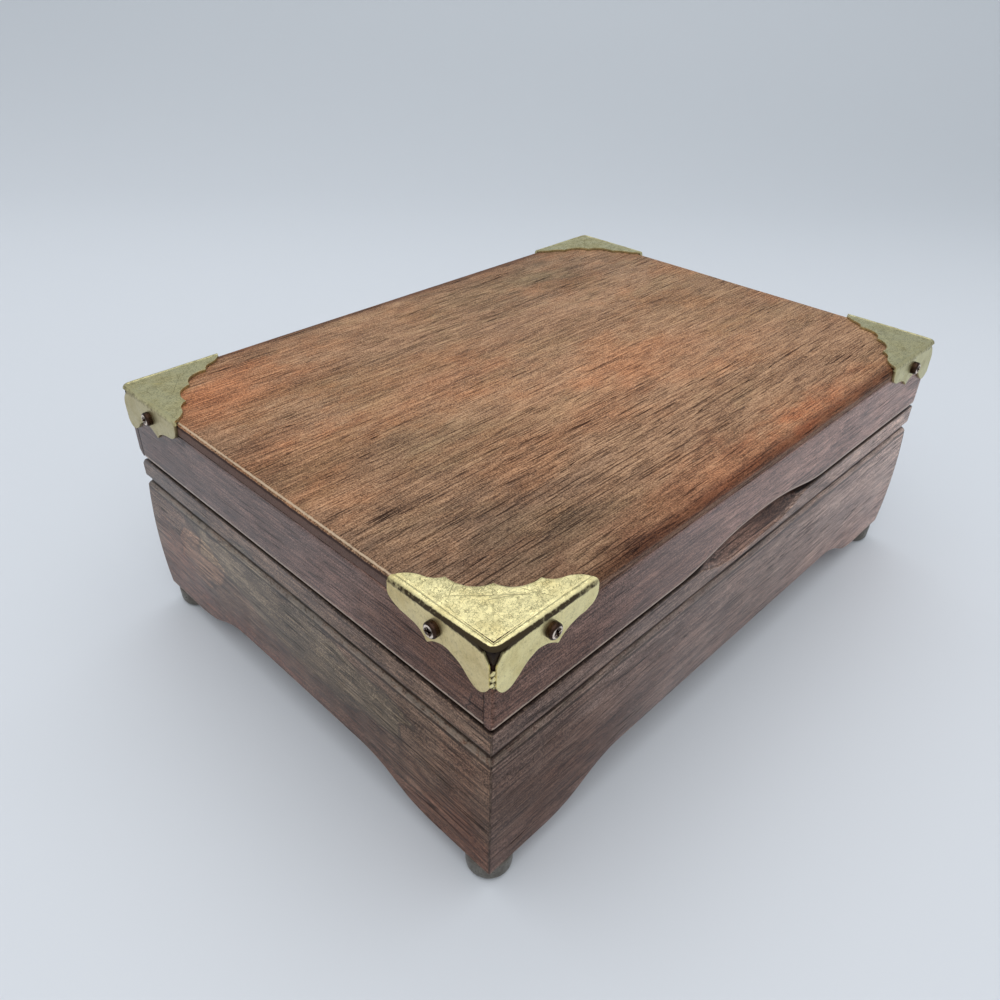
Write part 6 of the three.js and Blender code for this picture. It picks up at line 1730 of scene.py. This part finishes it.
def inner_parts():
    """Boards, hinges and movement parts that keep their solid's form with eased edges."""
    plans = [
        ("bottom_board", "case", INNER_WOOD, "inner_wood", 0.2),
        ("divider_long", "case", INNER_WOOD_Y, "inner_wood", 0.35),
        ("divider_short", "case", INNER_WOOD, "inner_wood", 0.35),
        ("movement_cover", "case", COVER, "clear_cover", 0.5),
        ("movement_frame", "case", ZINC, "zinc", 0.2),
        ("comb", "case", STEEL, "steel", 0.05),
        ("click", "case", STEEL, "steel", 0.08),
        ("governor_frame", "case", PART_BRASS, "plain_brass", 0.1),
        ("drum_arbor", "drum_set", STEEL, "steel", 0.08),
        ("drum_gear", "drum_set", PART_BRASS, "plain_brass", 0.04),
        ("spring_barrel", "barrel_set", PART_BRASS, "plain_brass", 0.1),
        ("winding_arbor", "winding_set", STEEL, "steel", 0.15),
        ("ratchet_wheel", "winding_set", STEEL, "steel", 0.05),
        ("winding_key", "winding_set", PART_BRASS, "plain_brass", 0.3),
        ("governor_wheel", "governor_wheel_set", PART_BRASS, "plain_brass", 0.04),
        ("governor_fly", "fly_set", STEEL, "steel", 0.05),
        ("stop_lever", "stop_lever_set", STEEL, "steel", 0.1),
        ("stop_plate", "lid", PART_BRASS, "plain_brass", 0.15),
    ]
    for side in ("left", "right"):
        plans.append((f"hinge_{side}_base_leaf", "case", PART_BRASS, "plain_brass", 0.08))
        plans.append((f"hinge_{side}_pin", "case", PART_BRASS, "plain_brass", 0.08))
        plans.append((f"hinge_{side}_lid_leaf", "lid", PART_BRASS, "plain_brass", 0.08))
    for node, body, material, slot, width in plans:
        refined(node, body, material, width)


# Stage, light and camera


def make_stage():
    """A pale sheet that lies flat under the box and sweeps up behind it: height follows a quarter circle of
    0.5 m, then a straight rise, over the distance along the camera's line of sight."""
    rise = np.concatenate([[[-2.2, 0.0], [0.0, 0.0]], arc(0.45, 0.5, 0.5, -90, 0, 24), [[0.95, 1.3]]])
    spread = np.linspace(-2.6, 2.6, 9)
    turn = math.radians(CAMERA_TURN_DEGREES)
    ahead = np.array([-math.sin(turn), math.cos(turn), 0])
    aside = np.array([math.cos(turn), math.sin(turn), 0])
    up = np.array([0, 0, 1.0])
    points = rise[:, None, :1] * ahead + spread[None, :, None] * aside + rise[:, None, 1:] * up
    floor = bpy.data.objects.new("floor", make_mesh("floor", [surface(points / MM)], 60))
    bpy.context.scene.collection.objects.link(floor)
    material, t, shader = new_material("pale_floor")
    place = t.add("ShaderNodeTexCoord").outputs["Object"]
    # Painted shade: the floor's colour darkens towards the far side, standing in for the light falling off
    # there.
    far = t.between(t.plus(t.times(t.axis(place, 0), 0.72), t.times(t.axis(place, 1), 0.45)), 0.12, 0.62)
    t.put(shader["Base Color"], t.mix(far, linear(216, 221, 227), linear(190, 196, 202)))
    shader["Roughness"].default_value = 0.7
    floor.data.materials.append(material)


def area_light(name, place, target, size, power, colour):
    """A rectangular panel that faces its target."""
    data = bpy.data.lights.new(name, "AREA")
    data.shape = "RECTANGLE"
    data.size, data.size_y = size
    data.energy = power
    data.color = colour
    lamp = bpy.data.objects.new(name, data)
    bpy.context.scene.collection.objects.link(lamp)
    lamp.location = place
    lamp.rotation_mode = "QUATERNION"
    lamp.rotation_quaternion = (Vector(target) - Vector(place)).to_track_quat("-Z", "Y")


def make_light():
    """One broad soft panel overhead, a smaller one high behind the box and an even pale surround."""
    area_light("overhead_panel", (-0.22, -0.2, 1.2), (0, 0, 0), (1.7, 1.7), 8.9, (1.0, 0.985, 0.965))
    area_light("back_panel", (0.75, 0.72, 1.15), (0, 0, 0.05), (1.1, 0.45), 7.6, (1.0, 0.985, 0.96))
    world = bpy.data.worlds.new("surround")
    bpy.context.scene.world = world
    world.use_nodes = True
    tree = Tree(world.node_tree)
    world.node_tree.nodes.clear()
    background = tree.add("ShaderNodeBackground")
    out = tree.add("ShaderNodeOutputWorld")
    world.node_tree.links.new(background.outputs[0], out.inputs[0])
    background.inputs["Color"].default_value = (0.62, 0.64, 0.67, 1)
    background.inputs["Strength"].default_value = 1.0


def make_camera():
    """Camera at the photograph's place; back points from the box to the camera and roll turns the frame."""
    degrees = (CAMERA_TURN_DEGREES, CAMERA_DOWN_DEGREES, CAMERA_ROLL_DEGREES)
    turn, down, roll = (math.radians(v) for v in degrees)
    back = np.array([math.sin(turn) * math.cos(down), -math.cos(turn) * math.cos(down), math.sin(down)])
    right = np.cross([0, 0, 1], back)
    right /= np.linalg.norm(right)
    up = np.cross(back, right)
    right, up = math.cos(roll) * right + math.sin(roll) * up, -math.sin(roll) * right + math.cos(roll) * up
    data = bpy.data.cameras.new("photo_camera")
    data.sensor_fit = "HORIZONTAL"
    data.sensor_width = SENSOR_WIDTH
    data.lens = CAMERA_FOCUS_PIXELS / PHOTO_PIXELS * SENSOR_WIDTH
    data.clip_start, data.clip_end = 0.01, 50.0
    camera = bpy.data.objects.new("photo_camera", data)
    bpy.context.scene.collection.objects.link(camera)
    matrix = Matrix.Identity(4)
    for row in range(3):
        matrix[row][0], matrix[row][1], matrix[row][2] = right[row], up[row], back[row]
        matrix[row][3] = CAMERA_PLACE[row] * MM
    camera.matrix_world = matrix
    bpy.context.scene.camera = camera


bpy.context.scene.view_settings.view_transform = "Standard"
make_stage()
make_light()
make_camera()
case_sides()
lid_boards()
lid_panel()
corner_caps()
cap_screws()
bumper_feet()
tray("lining_large", 301)
tray("lining_small", 307)
lid_padding()
bevelled_mirror()
felt_pads()
pinned_drum()
fly_worm()
wound_spring()
slotted_screws()
inner_parts()
